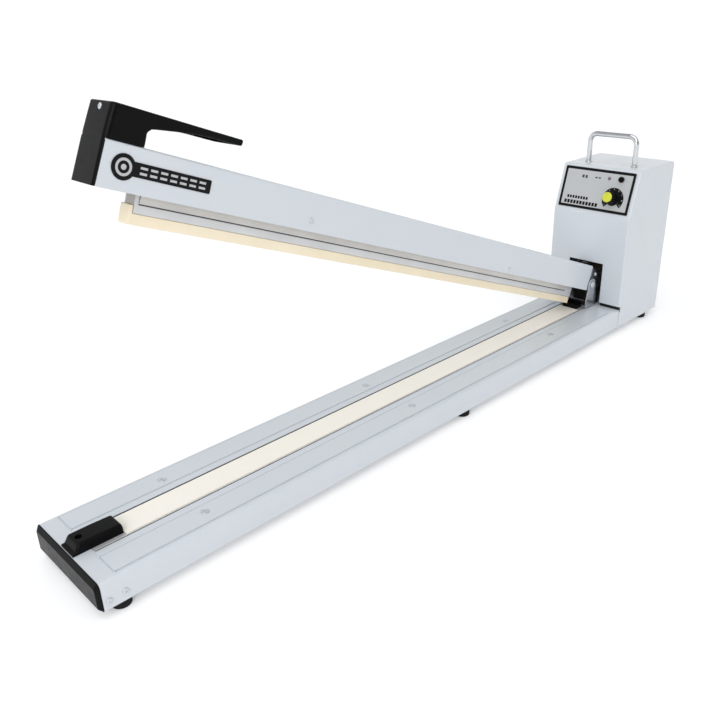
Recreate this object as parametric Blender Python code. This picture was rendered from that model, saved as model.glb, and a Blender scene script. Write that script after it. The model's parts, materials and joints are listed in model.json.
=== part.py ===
"""Long-arm impulse heat sealer: a sheet-metal base with a heated sealing bar, a sprung arm that
presses a silicone strip onto it, and a control box with a timer knob and a carrying handle.

Lengths below are millimetres. X runs from the front end of the base to the control box, Y is
across the machine and Z is up from the lower edge of the base. MM turns them into metres when a
mesh is made, and the empty "sealer" puts the frame's origin on the floor, under the middle.
"""
import math

import bmesh
import bpy
from mathutils import Matrix, Vector

MM = 0.001

# --- driving dimensions ---------------------------------------------------------------------------
GAP = 0.3  # left between pieces that touch
OVERALL_LENGTH = 1176.0
FOOT_HEIGHT = 11.0

BASE_WIDTH = 150.0
BASE_HEIGHT = 34.0
BASE_FRONT = 5.1
BASE_REAR = 1164.5
BASE_SHEET = 1.5
BASE_BEND = 6.0
STRIP_STEP = 0.3  # the narrow embossed strip beside the sealing bar
PANEL_STEP = 0.9  # the wide embossed panel outside it
EMBOSS_FRONT = 25.0
EMBOSS_REAR = 1003.0
SLOT_HALF_WIDTH = 21.3
SLOT_FRONT = 25.8
SLOT_REAR = 1003.0

SEAL_FRONT = 66.0  # the heated length
SEAL_REAR = 980.0
SEAL_TOP = 35.3
CLAMP_HALF_WIDTH = 14.3

PIVOT_X = 1008.0
PIVOT_Z = 78.0
ARM_OPEN_DEG = 20.9
PIN_RADIUS = 4.0
PIN_HOLE = PIN_RADIUS + 0.35

ARM_FRONT = 36.2
ARM_REAR = 998.0
ARM_HALF_WIDTH = 25.0
ARM_BOTTOM = 66.0
ARM_TOP = 111.0
ARM_SHEET = 1.5
PRESSER_FRONT = 82.5
PRESSER_REAR = 970.0
RAIL_FRONT = 91.0
RAIL_REAR = 945.0
STUDS_X = (210.0, 830.0)

HANDLE_HALF = 24.6  # half width of the moulded handle on the arm
HANDLE_BLOCK_REAR = 79.0
GRIP_REAR = 188.0
HANDLE_SCREW_AT = (0.0, 138.6)  # across, up

BOX_FRONT = 1027.0
BOX_REAR = 1170.0
BOX_HALF_WIDTH = 76.4
BOX_TOP = 282.0
BOX_SHEET = 1.2
BOX_BEND = 4.0
SLOPE_START = 200.0
SLOPE_SETBACK = 24.0
SLOPE_ANGLE = math.atan2(SLOPE_SETBACK, BOX_TOP - SLOPE_START)
CUTOUT_HALF_WIDTH = 34.5
CUTOUT_TOP = 114.0

CARRY_X = 1082.0
CARRY_HALF_SPAN = 45.0
CARRY_TOP = 337.3
CARRY_ROD = 4.5

# across and up the sloping panel, seen from the front
KNOB_AT = (35.5, 34.0)
KNOB_HEIGHT = 22.2
FUSE_AT = (44.0, 67.5)
LAMP_AT = (20.5, 67.0)

PANEL_SCREWS_X = (150.0, 500.0, 850.0)
PANEL_SCREWS_Y = 47.0
FEET_X = (29.0, 595.0, 1135.0)
FEET_Y = 62.0
RETURN_SPRING_X = 1063.0
SWITCH_HINGE = (1054.5, 101.4)
LEVER_DROP_DEG = 22.0


# --- materials ------------------------------------------------------------------------------------
def make_material(name, colour, roughness, metallic=0.0):
    material = bpy.data.materials.new(name)
    material.use_nodes = True
    shader = material.node_tree.nodes["Principled BSDF"]
    shader.inputs["Base Color"].default_value = (*colour, 1.0)
    shader.inputs["Roughness"].default_value = roughness
    shader.inputs["Metallic"].default_value = metallic
    return material


def make_materials():
    looks = {
        "paint": ((0.62, 0.67, 0.72), 0.45, 0.0),
        "black_plastic": ((0.02, 0.02, 0.022), 0.4, 0.0),
        "rubber": ((0.015, 0.015, 0.015), 0.8, 0.0),
        "aluminium": ((0.75, 0.76, 0.77), 0.35, 1.0),
        "stainless": ((0.56, 0.55, 0.53), 0.3, 1.0),
        "steel": ((0.5, 0.5, 0.52), 0.35, 1.0),
        "zinc": ((0.68, 0.69, 0.7), 0.3, 1.0),
        "chrome": ((0.85, 0.86, 0.87), 0.1, 1.0),
        "cloth": ((0.76, 0.72, 0.62), 0.6, 0.0),
        "silicone": ((0.82, 0.7, 0.47), 0.55, 0.0),
        "brass": ((0.72, 0.56, 0.25), 0.35, 1.0),
        "nichrome": ((0.4, 0.38, 0.35), 0.4, 1.0),
        "label_silver": ((0.6, 0.62, 0.63), 0.4, 0.2),
        "label_black": ((0.015, 0.015, 0.016), 0.35, 0.0),
        "yellow": ((0.6, 0.62, 0.04), 0.4, 0.0),
        "lens": ((0.12, 0.02, 0.015), 0.15, 0.0),
        "core_steel": ((0.12, 0.12, 0.13), 0.5, 1.0),
        "winding": ((0.45, 0.2, 0.08), 0.5, 0.0),
        "board": ((0.03, 0.2, 0.08), 0.5, 0.0),
    }
    return {name: make_material(name, *look) for name, look in looks.items()}


# --- outlines -------------------------------------------------------------------------------------
def arc(centre, radius, start_deg, end_deg, steps):
    """Points of an arc, both ends included."""
    points = []
    for i in range(steps + 1):
        angle = math.radians(start_deg + (end_deg - start_deg) * i / steps)
        points.append((centre[0] + radius * math.cos(angle), centre[1] + radius * math.sin(angle)))
    return points


def rounded_rectangle(x0, x1, y0, y1, radius, steps=3):
    return (
        arc((x1 - radius, y0 + radius), radius, -90, 0, steps)
        + arc((x1 - radius, y1 - radius), radius, 0, 90, steps)
        + arc((x0 + radius, y1 - radius), radius, 90, 180, steps)
        + arc((x0 + radius, y0 + radius), radius, 180, 270, steps)
    )


def circle(centre, radius, sides):
    return arc(centre, radius, 0, 360 - 360 / sides, sides - 1)


def mirrored(half):
    """A symmetric outline from its right half, listed from the bottom up."""
    return half + [(-a, b) for a, b in reversed(half)]


# --- solids ---------------------------------------------------------------------------------------
def make_object(name, points, faces):
    mesh = bpy.data.meshes.new(name)
    mesh.from_pydata([tuple(c * MM for c in p) for p in points], [], faces)
    tidy = bmesh.new()
    tidy.from_mesh(mesh)
    bmesh.ops.recalc_face_normals(tidy, faces=tidy.faces)
    tidy.to_mesh(mesh)
    tidy.free()
    solid = bpy.data.objects.new(name, mesh)
    bpy.context.collection.objects.link(solid)
    return solid


def to_axis(axis, a, b, along):
    """A point from its place in an outline and its place along the axis the outline is run."""
    if axis == "x":
        return (along, a, b)
    if axis == "y":
        return (a, along, b)
    return (a, b, along)


def loft(name, axis, sections):
    """A solid through outlines of equal length: sections lists (place along axis, outline)."""
    count = len(sections[0][1])
    points = [to_axis(axis, a, b, along) for along, outline in sections for a, b in outline]
    faces = [tuple(range(count)), tuple(range(len(points) - count, len(points)))]
    for s in range(len(sections) - 1):
        for i in range(count):
            j = (i + 1) % count
            low = s * count
            high = low + count
            faces.append((low + i, low + j, high + j, high + i))
    return make_object(name, points, faces)


def prism(name, axis, outline, low, high):
    return loft(name, axis, [(low, outline), (high, outline)])


def box(name, x, y, z):
    return prism(name, "z", [(x[0], y[0]), (x[1], y[0]), (x[1], y[1]), (x[0], y[1])], *z)


def rod(name, axis, centre, radius, low, high, sides=16):
    return prism(name, axis, circle(centre, radius, sides), low, high)


def turned(name, axis, centre, profile, sides=16):
    """A turned solid: profile lists (radius, place along axis) from one end to the other."""
    return loft(name, axis, [(along, circle(centre, radius, sides)) for radius, along in profile])


def swept(name, path, radius, sides):
    """A round wire along a list of points, with flat ends."""
    centres = [Vector(p) for p in path]
    points = []
    last_side = None
    for i, centre in enumerate(centres):
        ahead = centres[min(i + 1, len(centres) - 1)]
        behind = centres[max(i - 1, 0)]
        tangent = (ahead - behind).normalized()
        if last_side is None:
            last_side = tangent.orthogonal()
        side = (last_side - tangent * last_side.dot(tangent)).normalized()
        last_side = side
        up = tangent.cross(side)
        for k in range(sides):
            angle = 2 * math.pi * k / sides
            points.append(centre + (side * math.cos(angle) + up * math.sin(angle)) * radius)
    faces = [tuple(range(sides)), tuple(range(len(points) - sides, len(points)))]
    for s in range(len(centres) - 1):
        for k in range(sides):
            j = (k + 1) % sides
            low = s * sides
            faces.append((low + k, low + j, low + sides + j, low + sides + k))
    return make_object(name, points, faces)


def coil_path(axis, centre, radius, low, high, turns, steps=10):
    """A coil between low and high whose wire starts and ends on its own axis."""
    lead = (high - low) * 0.06
    points = [to_axis(axis, *centre, low)]
    count = int(turns * steps)
    for i in range(count + 1):
        angle = 2 * math.pi * i / steps
        along = low + lead + (high - low - 2 * lead) * i / count
        a = centre[0] + radius * math.cos(angle)
        b = centre[1] + radius * math.sin(angle)
        points.append(to_axis(axis, a, b, along))
    points.append(to_axis(axis, *centre, high))
    return points


def combine(solid, tools, operation):
    """Cuts tools out of solid, or joins them to it, and removes them."""
    for tool in tools:
        modifier = solid.modifiers.new("combine", "BOOLEAN")
        modifier.operation = operation
        modifier.solver = "EXACT"
        modifier.object = tool
        evaluated = solid.evaluated_get(bpy.context.evaluated_depsgraph_get())
        mesh = bpy.data.meshes.new_from_object(evaluated)
        solid.modifiers.clear()
        solid.data = mesh
        bpy.data.objects.remove(tool)
    return solid


def cut(solid, *tools):
    return combine(solid, tools, "DIFFERENCE")


def join(solid, *tools):
    return combine(solid, tools, "UNION")


# --- placing --------------------------------------------------------------------------------------
class Group:
    """An empty that carries pieces; origin is its place in the frame its pieces are drawn in."""

    def __init__(self, name, parent=None, origin=(0, 0, 0), turn=None):
        self.origin = Vector(origin)
        self.empty = bpy.data.objects.new(name, None)
        bpy.context.collection.objects.link(self.empty)
        place = self.origin - (parent.origin if parent else Vector((0, 0, 0)))
        turn = turn or Matrix.Identity(4)
        self.empty.matrix_local = Matrix.Translation(place * MM) @ turn
        if parent:
            self.empty.parent = parent.empty

    def add(self, solid, material, smooth_deg=None):
        solid.data.transform(Matrix.Translation(-self.origin * MM))
        solid.parent = self.empty
        solid.data.materials.clear()
        solid.data.materials.append(material)
        if smooth_deg:
            solid.data.shade_smooth()
            solid.data.set_sharp_from_angle(angle=math.radians(smooth_deg))
        return solid


def panel_turn():
    """Axes of the sloping panel: across to the right, up the slope, and out of it."""
    s = math.sin(SLOPE_ANGLE)
    c = math.cos(SLOPE_ANGLE)
    return Matrix(((0, s, -c, 0), (-1, 0, 0, 0), (0, c, s, 0), (0, 0, 0, 1)))


# --- base -----------------------------------------------------------------------------------------
def base_outline(step):
    """Section of the base sheet; step runs from 0 on the plain ends to 1 on the embossed part."""
    half = BASE_WIDTH / 2
    strip = BASE_HEIGHT + STRIP_STEP * step
    panel = BASE_HEIGHT + PANEL_STEP * step
    bend = half - BASE_BEND
    tops = [(67.8, BASE_HEIGHT), (67.0, panel), (34.0, panel)]
    tops += [(33.4, strip), (21.0, strip), (20.5, BASE_HEIGHT)]
    outer = [(half, 0)] + arc((bend, BASE_HEIGHT - BASE_BEND), BASE_BEND, 0, 90, 5) + tops
    inner_arc = arc((bend, BASE_HEIGHT - BASE_BEND), BASE_BEND - BASE_SHEET, 0, 90, 5)
    inner = [(half - BASE_SHEET, 0)] + inner_arc + [(y, z - BASE_SHEET) for y, z in tops]
    outer += [(-y, z) for y, z in reversed(outer)]
    inner += [(-y, z) for y, z in reversed(inner)]
    return outer + list(reversed(inner))


def make_base_channel():
    sections = [
        (BASE_FRONT, 0),
        (EMBOSS_FRONT, 0),
        (EMBOSS_FRONT + 0.8, 1),
        (EMBOSS_REAR - 0.8, 1),
        (EMBOSS_REAR, 0),
        (BASE_REAR, 0),
    ]
    channel = loft("base_channel", "x", [(x, base_outline(step)) for x, step in sections])
    slot = box("slot", (SLOT_FRONT, SLOT_REAR), (-SLOT_HALF_WIDTH, SLOT_HALF_WIDTH), (28, 40))
    spring_slot = box("spring_slot", (RETURN_SPRING_X - 11, RETURN_SPRING_X + 11), (-11, 11), (28, 40))
    cut(channel, slot, spring_slot)
    for x in PANEL_SCREWS_X:
        for y in (-PANEL_SCREWS_Y, PANEL_SCREWS_Y):
            cut(channel, rod("hole", "z", (x, y), 2.4, 28, 40, 12))
    for x, z in side_screw_places():
        cut(channel, rod("hole", "y", (x, z), 2.1, -80, 80, 12))
    return channel


def side_screw_places():
    return [(12.0, 10.1), (30.7, 11.4)]


def make_front_end_cap():
    half = BASE_WIDTH / 2
    bend = arc((half - BASE_BEND, BASE_HEIGHT - BASE_BEND), BASE_BEND, 0, 90, 3)
    back = mirrored([(half, 0)] + bend)
    inner_bend = arc((half - BASE_BEND - 1, BASE_HEIGHT - 11), 2.5, 0, 90, 3)
    front = mirrored([(half - 4.5, 3)] + inner_bend)
    cap = loft("front_end_cap", "x", [(0, front), (4.0, back), (BASE_FRONT - GAP, back)])
    for side in (-1, 1):
        lug = box("lug", (4, 17), sorted((side * 30, side * 72.9)), (4, 29))
        cut(lug, rod("hole", "y", side_screw_places()[0], 2.1, -80, 80, 12))
        join(cap, lug)
    return cap


def make_bottom_plate():
    plate = box("bottom_plate", (8, 1163), (-73.1, 73.1), (0.6, 1.8))
    x = RETURN_SPRING_X
    for side in (-1, 1):
        join(plate, box("lug", (x - 5, x + 5), sorted((side * 12, side * 14)), (1.2, 17)))
    return join(plate, rod("anchor", "y", (x, 12), 1.8, -13, 13, 12))


def make_foot(name, x, y):
    profile = [(10.0, -FOOT_HEIGHT), (11.5, -FOOT_HEIGHT + 1.5), (11.5, -1.2), (10.4, -0.5), (10.4, 0.3)]
    return turned(name, "z", (x, y), profile, 20)


def make_sealing_bar():
    """An inverted channel that stands on the bottom plate, its top level with the base."""
    half = [(20.3, 2.1), (20.3, BASE_HEIGHT), (17.8, 31.0), (17.8, 2.1)]
    outline = [half[1], half[0], half[3], half[2]]
    return prism("sealing_bar", "x", mirrored(outline), SLOT_FRONT + 0.5, SLOT_REAR - 0.5)


def make_cloth_cover():
    low = BASE_HEIGHT + GAP
    outer = mirrored([(18.6, low), (18.6, 34.9), (18.0, SEAL_TOP)])
    inner = [(-18.2, low), (-18.2, 34.7), (-17.9, 34.9), (17.9, 34.9), (18.2, 34.7), (18.2, low)]
    return prism("cloth_cover", "x", outer + inner, SEAL_FRONT, SEAL_REAR)


def clamp_section(x, top, half=CLAMP_HALF_WIDTH, radius=4.0):
    """Section of a moulded cover over the wire's clamp: flat below, round shoulders above."""
    low = BASE_HEIGHT + GAP
    radius = min(radius, (top - low) * 0.6)
    shoulder = arc((half - radius, top - radius), radius, 0, 90, 4)
    return (x, mirrored([(half, low)] + shoulder))


def make_front_clamp_cover():
    sections = [
        clamp_section(BASE_FRONT + GAP, 36.6),
        clamp_section(9.3, 37.4),
        clamp_section(11.4, 42.2),
        clamp_section(13.6, 45.2),
        clamp_section(16.0, 46.0),
        clamp_section(62.8, 45.2),
        clamp_section(SEAL_FRONT - 0.7, 44.0, CLAMP_HALF_WIDTH - 0.6),
    ]
    cover = loft("front_clamp_cover", "x", sections)
    return cut(
        cover,
        rod("counterbore", "z", (20.5, 0), 4.0, 40, 50, 16),
        box("cavity", (42, 62), (-11, 11), (30, 42.6)),
        box("wire_notch", (60, 70), (-4, 4), (30, 36.2)),
    )


def make_rear_clamp_cover():
    sections = [
        clamp_section(SEAL_REAR + 0.7, 43.2),
        clamp_section(998, 43.2),
        clamp_section(1002.5, 40.2, CLAMP_HALF_WIDTH - 1),
    ]
    cover = loft("rear_clamp_cover", "x", sections)
    return cut(
        cover,
        box("cavity", (983, 1001), (-11, 11), (30, 41.4)),
        box("wire_notch", (975, 985), (-4, 4), (30, 36.2)),
    )


def make_terminal(name, x0, x1):
    block = box(name, (x0, x1), (-5, 5), (34.9, 39.0))
    middle = ((x0 + x1) / 2, 0)
    return join(block, rod("screw_head", "z", middle, 2.6, 38.5, 40.6, 12))


def make_panel_screw(name, x, y):
    seat = BASE_HEIGHT + PANEL_STEP + GAP
    profile = [(2.0, 27), (2.0, seat), (3.5, seat), (3.5, seat + 0.9), (2.2, seat + 1.8)]
    return turned(name, "z", (x, y), profile, 12)


def make_side_screw(name, x, z, side):
    face = BASE_WIDTH / 2 + GAP
    profile = [(1.7, 69), (1.7, face), (3.5, face), (3.3, face + 0.6), (2.2, face + 1.1)]
    return turned(name, "y", (x, z), [(r, side * y) for r, y in profile], 12)


# --- hinge ----------------------------------------------------------------------------------------
def make_hinge_bracket():
    head = arc((PIVOT_X, PIVOT_Z), 11.5, -10, 190, 10)
    foot = [(992, 50), (992, 37.5), (1006, 37.5), (1006, 34.3), (1025, 34.3), (1025, 50)]
    bracket = prism("hinge_bracket", "y", foot + head, -28, -26)
    # the far ear carries on into the box, where it holds the switch
    reach = [(1025, 76), (1046, 84), (1082, 100), (1082, 121), (1050, 121), (1044, 106), (1022, 95)]
    near_top = arc((PIVOT_X, PIVOT_Z), 11.5, 60, 190, 7)
    far_ear = prism("far_ear", "y", foot + reach + near_top, 26, 28)
    plate = box("plate", (1006.5, 1024.5), (-27, 27), (34.3, 36.3))
    join(bracket, plate, far_ear)
    return cut(bracket, rod("hole", "y", (PIVOT_X, PIVOT_Z), PIN_HOLE, -40, 40, 24))


def make_hinge_pin():
    profile = [(6.0, -31.2), (6.0, -28.4), (PIN_RADIUS, -28.4), (PIN_RADIUS, 30.4), (3.2, 31.2)]
    return turned("hinge_pin", "y", (PIVOT_X, PIVOT_Z), profile, 24)


def make_arm_stop():
    return box("arm_stop", (1033, 1041), (-24, 24), (34.3, 61.0))


# --- control box ----------------------------------------------------------------------------------
def make_case_solid(name, inset):
    """The box's outline as a solid with rounded edges, longer than the box below and behind."""
    reach = 20 * (1 + inset)
    run = (BOX_TOP - SLOPE_START) / SLOPE_SETBACK
    front = BOX_FRONT + inset
    top = BOX_TOP - inset
    lean = inset * math.tan(SLOPE_ANGLE / 2)
    start = SLOPE_START - lean
    setback = (top - start) / run
    rear = BOX_REAR + reach
    outline = [(front, -reach), (front, start), (front + setback, top), (rear, top), (rear, -reach)]
    half = BOX_HALF_WIDTH - inset
    solid = prism(name, "y", outline, -half, half)
    shape = bmesh.new()
    shape.from_mesh(solid.data)
    bmesh.ops.bevel(
        shape, geom=shape.edges[:], offset=(BOX_BEND - inset) * MM, segments=4, profile=0.5, affect="EDGES"
    )
    bmesh.ops.triangulate(shape, faces=shape.faces[:])
    shape.to_mesh(solid.data)
    shape.free()
    return solid


def panel_hole(at, radius):
    """A cutter square to the sloping panel, at a place across and up it."""
    hole = rod("hole", "z", at, radius, -12, 12, 16)
    place = Matrix.Translation(Vector((BOX_FRONT, 0, SLOPE_START)) * MM)
    hole.data.transform(place @ panel_turn())
    return hole


def make_control_box():
    shell = make_case_solid("control_box", 0)
    half_cutout = [(75.35, -40), (75.35, 38), (CUTOUT_HALF_WIDTH, 38), (CUTOUT_HALF_WIDTH, CUTOUT_TOP)]
    cut(
        shell,
        make_case_solid("hollow", BOX_SHEET),
        panel_hole(KNOB_AT, 5.0),
        panel_hole(FUSE_AT, 5.4),
        panel_hole(LAMP_AT, 3.0),
        box("below", (1000, 1210), (-90, 90), (-40, 0.8)),
        box("behind", (BOX_REAR, 1220), (-90, 90), (-40, 300)),
    )
    for side in (-1, 1):
        cut(shell, rod("hole", "z", (CARRY_X, side * CARRY_HALF_SPAN), CARRY_ROD + 0.4, 270, 290, 16))
        join(shell, box("return", (1164.9, 1166.1), sorted((side * 62, side * 75.8)), (40, 276)))
        cut(shell, rod("hole", "x", (side * 68, 160), 2.1, 1150, 1175, 12))
    return cut(shell, prism("arm_cutout", "x", mirrored(half_cutout), 1000, 1033))


def make_rear_cover():
    outline = rounded_rectangle(-74.8, 74.8, 2, 280.3, 3.4)
    cover = prism("rear_cover", "x", outline, 1166.5, 1167.8)
    for row in range(6):
        z = 200 + row * 10
        cut(cover, box("vent", (1160, 1175), (-35, 35), (z, z + 4)))
    for side in (-1, 1):
        cut(cover, rod("hole", "x", (side * 68, 160), 2.1, 1150, 1175, 12))
        for z in (150, 188):
            join(cover, rod("standoff", "x", (side * 42, z), 2.5, 1157.9, 1167, 10))
    return cut(cover, rod("hole", "x", (35, 62), 8.1, 1150, 1175, 20))


def make_rear_screw(name, side):
    profile = [(1.7, 1158), (1.7, 1168.1), (3.5, 1168.1), (3.3, 1168.9), (2.2, 1169.6)]
    return turned(name, "x", (side * 68, 160), profile, 12)


def make_cord_gland():
    profile = [
        (10.5, 1159.0),
        (10.5, 1166.2),
        (7.8, 1166.2),
        (7.8, 1168.1),
        (10.5, 1168.1),
        (10.5, 1171.5),
        (8.0, 1176.0),
    ]
    gland = turned("cord_gland", "x", (35, 62), profile, 20)
    return cut(gland, rod("bore", "x", (35, 62), 3.8, 1150, 1180, 16))


def make_carry_handle():
    """Up one leg, over and down the other, with round corners."""
    top = CARRY_TOP - CARRY_ROD
    bend = 13.5
    inner = CARRY_HALF_SPAN - bend
    path = [(-CARRY_HALF_SPAN, 270), (-CARRY_HALF_SPAN, top - bend - 1)]
    path += arc((-inner, top - bend), bend, 180, 90, 6)
    path += arc((inner, top - bend), bend, 90, 0, 6)
    path += [(CARRY_HALF_SPAN, top - bend - 1), (CARRY_HALF_SPAN, 270)]
    return swept("carry_handle", [(CARRY_X, y, z) for y, z in path], CARRY_ROD, 14)


def make_control_label():
    plate = prism("control_label", "z", rounded_rectangle(-69, 69, 8, 81, 2), 0.3, 1.1)
    return cut(
        plate,
        rod("hole", "z", KNOB_AT, 5.0, -5, 5, 16),
        rod("hole", "z", FUSE_AT, 5.4, -5, 5, 16),
        rod("hole", "z", LAMP_AT, 3.0, -5, 5, 16),
    )


def make_fuse_holder():
    profile = [(4.0, -30), (5.0, -28), (5.0, 1.4), (6.0, 1.4), (6.0, 5.0), (5.2, 6.2)]
    holder = turned("fuse_holder", "z", FUSE_AT, profile, 20)
    x, y = FUSE_AT
    return cut(holder, box("coin_slot", (x - 3.6, x + 3.6), (y - 0.6, y + 0.6), (5.0, 8)))


def make_indicator_lamp():
    dome = [(3.4 * math.cos(math.radians(a)), 2.0 + 2.0 * math.sin(math.radians(a))) for a in (0, 30, 60)]
    profile = [(2.6, -14), (2.6, 1.4), (3.4, 1.4)] + dome + [(0.6, 4.0)]
    return turned("indicator_lamp", "z", LAMP_AT, profile, 16)


def make_potentiometer():
    profile = [(8.5, -15), (8.5, -2.2), (4.6, -2.2), (4.6, 1.0)]
    body = turned("potentiometer", "z", KNOB_AT, profile, 20)
    return cut(body, rod("bore", "z", KNOB_AT, 3.5, -13.5, 10, 16))


def make_transformer_core():
    core = box("transformer_core", (1099, 1145), (-55, 55), (36.5, 128))
    for side in (-1, 1):
        cut(core, box("window", (1090, 1150), sorted((side * 18, side * 36)), (55, 110)))
    return core


def make_transformer_coil():
    coil = prism("transformer_coil", "z", rounded_rectangle(1085, 1159, -35.6, 35.6, 6), 55.5, 109.5)
    return cut(coil, box("leg", (1098.6, 1145.4), (-18.4, 18.4), (40, 130)))


def make_circuit_board():
    board = box("circuit_board", (1156, 1157.6), (-50, 50), (142, 196))
    return join(
        board,
        box("relay", (1140, 1156.5), (-40, -20), (150, 180)),
        box("heat_sink", (1144, 1156.5), (-8, 12), (152, 186)),
        rod("capacitor", "x", (32, 166), 8, 1138, 1156.5, 16),
    )


def make_microswitch():
    body = box("microswitch", (1052, 1080), (9, 25.7), (103, 119))
    for x in (1056, 1066, 1076):
        join(body, box("tag", (x - 0.4, x + 0.4), (14, 20), (118, 125)))
    return body


def make_switch_lever():
    x, z = SWITCH_HINGE
    blade = box("switch_lever", (x - 0.5, x + 24), (12, 24), (z - 0.5, z + 0.2))
    return join(blade, rod("barrel", "y", (x, z), 1.2, 12, 24, 10))


# --- arm, drawn closed ----------------------------------------------------------------------------
def make_arm_channel():
    corner = 3.0
    half = ARM_HALF_WIDTH
    bend = (half - corner, ARM_TOP - corner)
    outer = mirrored([(half, ARM_BOTTOM)] + arc(bend, corner, 0, 90, 4))
    inside = [(half - ARM_SHEET, ARM_BOTTOM)] + arc(bend, corner - ARM_SHEET, 0, 90, 4)
    inner = list(reversed(mirrored(inside)))
    channel = prism("arm_channel", "x", outer + inner, ARM_FRONT, ARM_REAR)
    for x, z in arm_screw_places():
        cut(channel, rod("hole", "y", (x, z), 2.1, -30, 0, 12))
    return channel


def arm_screw_places():
    return [(305, 79), (735, 73)]


def make_arm_screw(name, x, z):
    face = -ARM_HALF_WIDTH - GAP
    profile = [(1.7, -19), (1.7, face), (3.5, face), (3.3, face - 0.6), (2.2, face - 1.1)]
    return turned(name, "y", (x, z), profile, 12)


def make_presser_rail():
    half = [
        (12.0, 57.5),
        (12.0, 66.8),
        (23.1, 66.8),
        (23.1, 88.0),
        (21.9, 88.0),
        (21.9, 68.0),
        (12.0, 68.0),
        (12.0, 73.0),
    ]
    outer = mirrored(half)
    inner = [(-10.8, 57.5), (-10.8, 71.8), (10.8, 71.8), (10.8, 57.5)]
    rail = prism("presser_rail", "x", outer + inner, RAIL_FRONT, RAIL_REAR)
    for side in (-1, 1):
        cut(rail, box("rear_trim", (898, 1000), sorted((side * 20, side * 30)), (60, 95)))
    for x in STUDS_X:
        cut(rail, rod("hole", "z", (x, 0), 3.5, 65, 80, 12))
    for x, z in arm_screw_places():
        cut(rail, rod("hole", "y", (x, z), 2.1, -30, 0, 12))
    return rail


def make_presser_bar():
    outline = [(10.3, 47.5), (10.3, 66.3), (8.3, 66.3), (8.3, 49.5)]
    bar = prism("presser_bar", "x", mirrored(outline), PRESSER_FRONT + 4.1, PRESSER_REAR)
    for x in STUDS_X:
        profile = [(3.0, 48.5), (3.0, 73.4), (5.5, 73.4), (5.5, 76.0)]
        join(bar, turned("stud", "z", (x, 0), profile, 12))
    return bar


def make_silicone_strip():
    front = PRESSER_FRONT
    side_view = [
        (front, 35.7),
        (PRESSER_REAR, 35.7),
        (PRESSER_REAR, 47.2),
        (front + 3.8, 47.2),
        (front + 3.8, 55.5),
        (front, 55.5),
    ]
    return prism("silicone_strip", "y", side_view, -9.5, 9.5)


def make_arm_bracket():
    under = arc((PIVOT_X, PIVOT_Z), 11.0, -120, -50, 5)
    tail = [(1071, 80), (1075, 84), (1075, 96), (1046, 98), (1032, 107)]
    outline = [(905, 70)] + under + tail + [(905, 107)]
    near = prism("arm_bracket", "y", outline, -23.1, -21.1)
    far = prism("far_plate", "y", outline, 21.1, 23.1)
    web = box("web", (906, 1030), (-22.4, 22.4), (104.6, 106.6))
    spring_pin = rod("spring_pin", "y", (PIVOT_X + 55, PIVOT_Z + 10), 2.5, -22, 22, 12)
    join(near, web, far, spring_pin)
    return cut(near, rod("hole", "y", (PIVOT_X, PIVOT_Z), PIN_HOLE, -40, 40, 24))


def nose_outline(front, back, half, radius):
    """Seen from above: a blunt front end with two round corners and a flat back."""
    centre = front + radius
    side = half - radius
    reach = 90.0
    if back < centre:
        reach = math.degrees(math.acos((centre - back) / radius))
    near = arc((centre, -side), radius, 180 + reach, 180, 6)
    far = arc((centre, side), radius, 180, 180 - reach, 6)
    return [(back, near[0][1])] + near + far + [(back, far[-1][1])]


def make_arm_handle():
    """Nose in front of the arm, block on top of it and a grip that runs back over the arm."""
    floor = ARM_TOP + GAP
    back = ARM_FRONT - GAP
    sections = [(ARM_BOTTOM, 34.0), (floor - 1.7, 34.0), (floor - 1.3, 34.8), (floor + 0.8, 34.8)]
    handle = loft("arm_handle", "z", [(z, nose_outline(x, back, 25.2, 6.0)) for z, x in sections])
    join(handle, box("plug", (35, 58), (-22.8, 22.8), (66.6, 109)))
    rear = HANDLE_BLOCK_REAR
    block = [
        (floor, nose_outline(34.4, rear, HANDLE_HALF, 7.0)),
        (139.5, nose_outline(38.0, rear, HANDLE_HALF, 7.0)),
        (142.8, nose_outline(38.9, rear, HANDLE_HALF, 7.0)),
        (144.4, nose_outline(40.3, rear, HANDLE_HALF - 1.3, 6.5)),
    ]
    join(handle, loft("block", "z", block))
    under = [(60, 126), (rear, 128.8), (88, 130.8), (135, 136.9), (172, 138.0)]
    tip = [(GRIP_REAR - 2, 138.4), (GRIP_REAR, 140), (GRIP_REAR, 142.8), (GRIP_REAR - 2, 144.9)]
    top = [(133, 144.3), (82, 144.2), (60, 143.7)]
    side_view = under + tip + top
    middle = 141.0
    edge = [(x, middle + (z - middle) * 0.7) for x, z in side_view]
    grip = [
        (-HANDLE_HALF + 0.1, edge),
        (-HANDLE_HALF + 1.9, side_view),
        (HANDLE_HALF - 1.9, side_view),
        (HANDLE_HALF - 0.1, edge),
    ]
    join(handle, loft("grip", "y", grip))
    return cut(
        handle,
        rod("recess", "x", HANDLE_SCREW_AT, 4.0, 30, 40.5, 16),
        rod("hole", "x", HANDLE_SCREW_AT, 2.0, 40, 56, 12),
    )


def make_handle_screw():
    profile = [(3.3, 38.4), (3.5, 39.0), (3.5, 40.2), (1.6, 40.2), (1.6, 54)]
    return turned("handle_screw", "x", HANDLE_SCREW_AT, profile, 12)


def make_arm_label():
    """A round badge that runs into a strip."""
    face = -ARM_HALF_WIDTH
    badge = arc((60, 89.2), 12.6, 34.5, 326.5, 20)
    strip = arc((157.5, 83.7), 1.5, -90, 0, 3) + arc((157.5, 94.8), 1.5, 0, 90, 3)
    return prism("arm_label", "y", badge + strip, face - 0.9, face - GAP)


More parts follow.
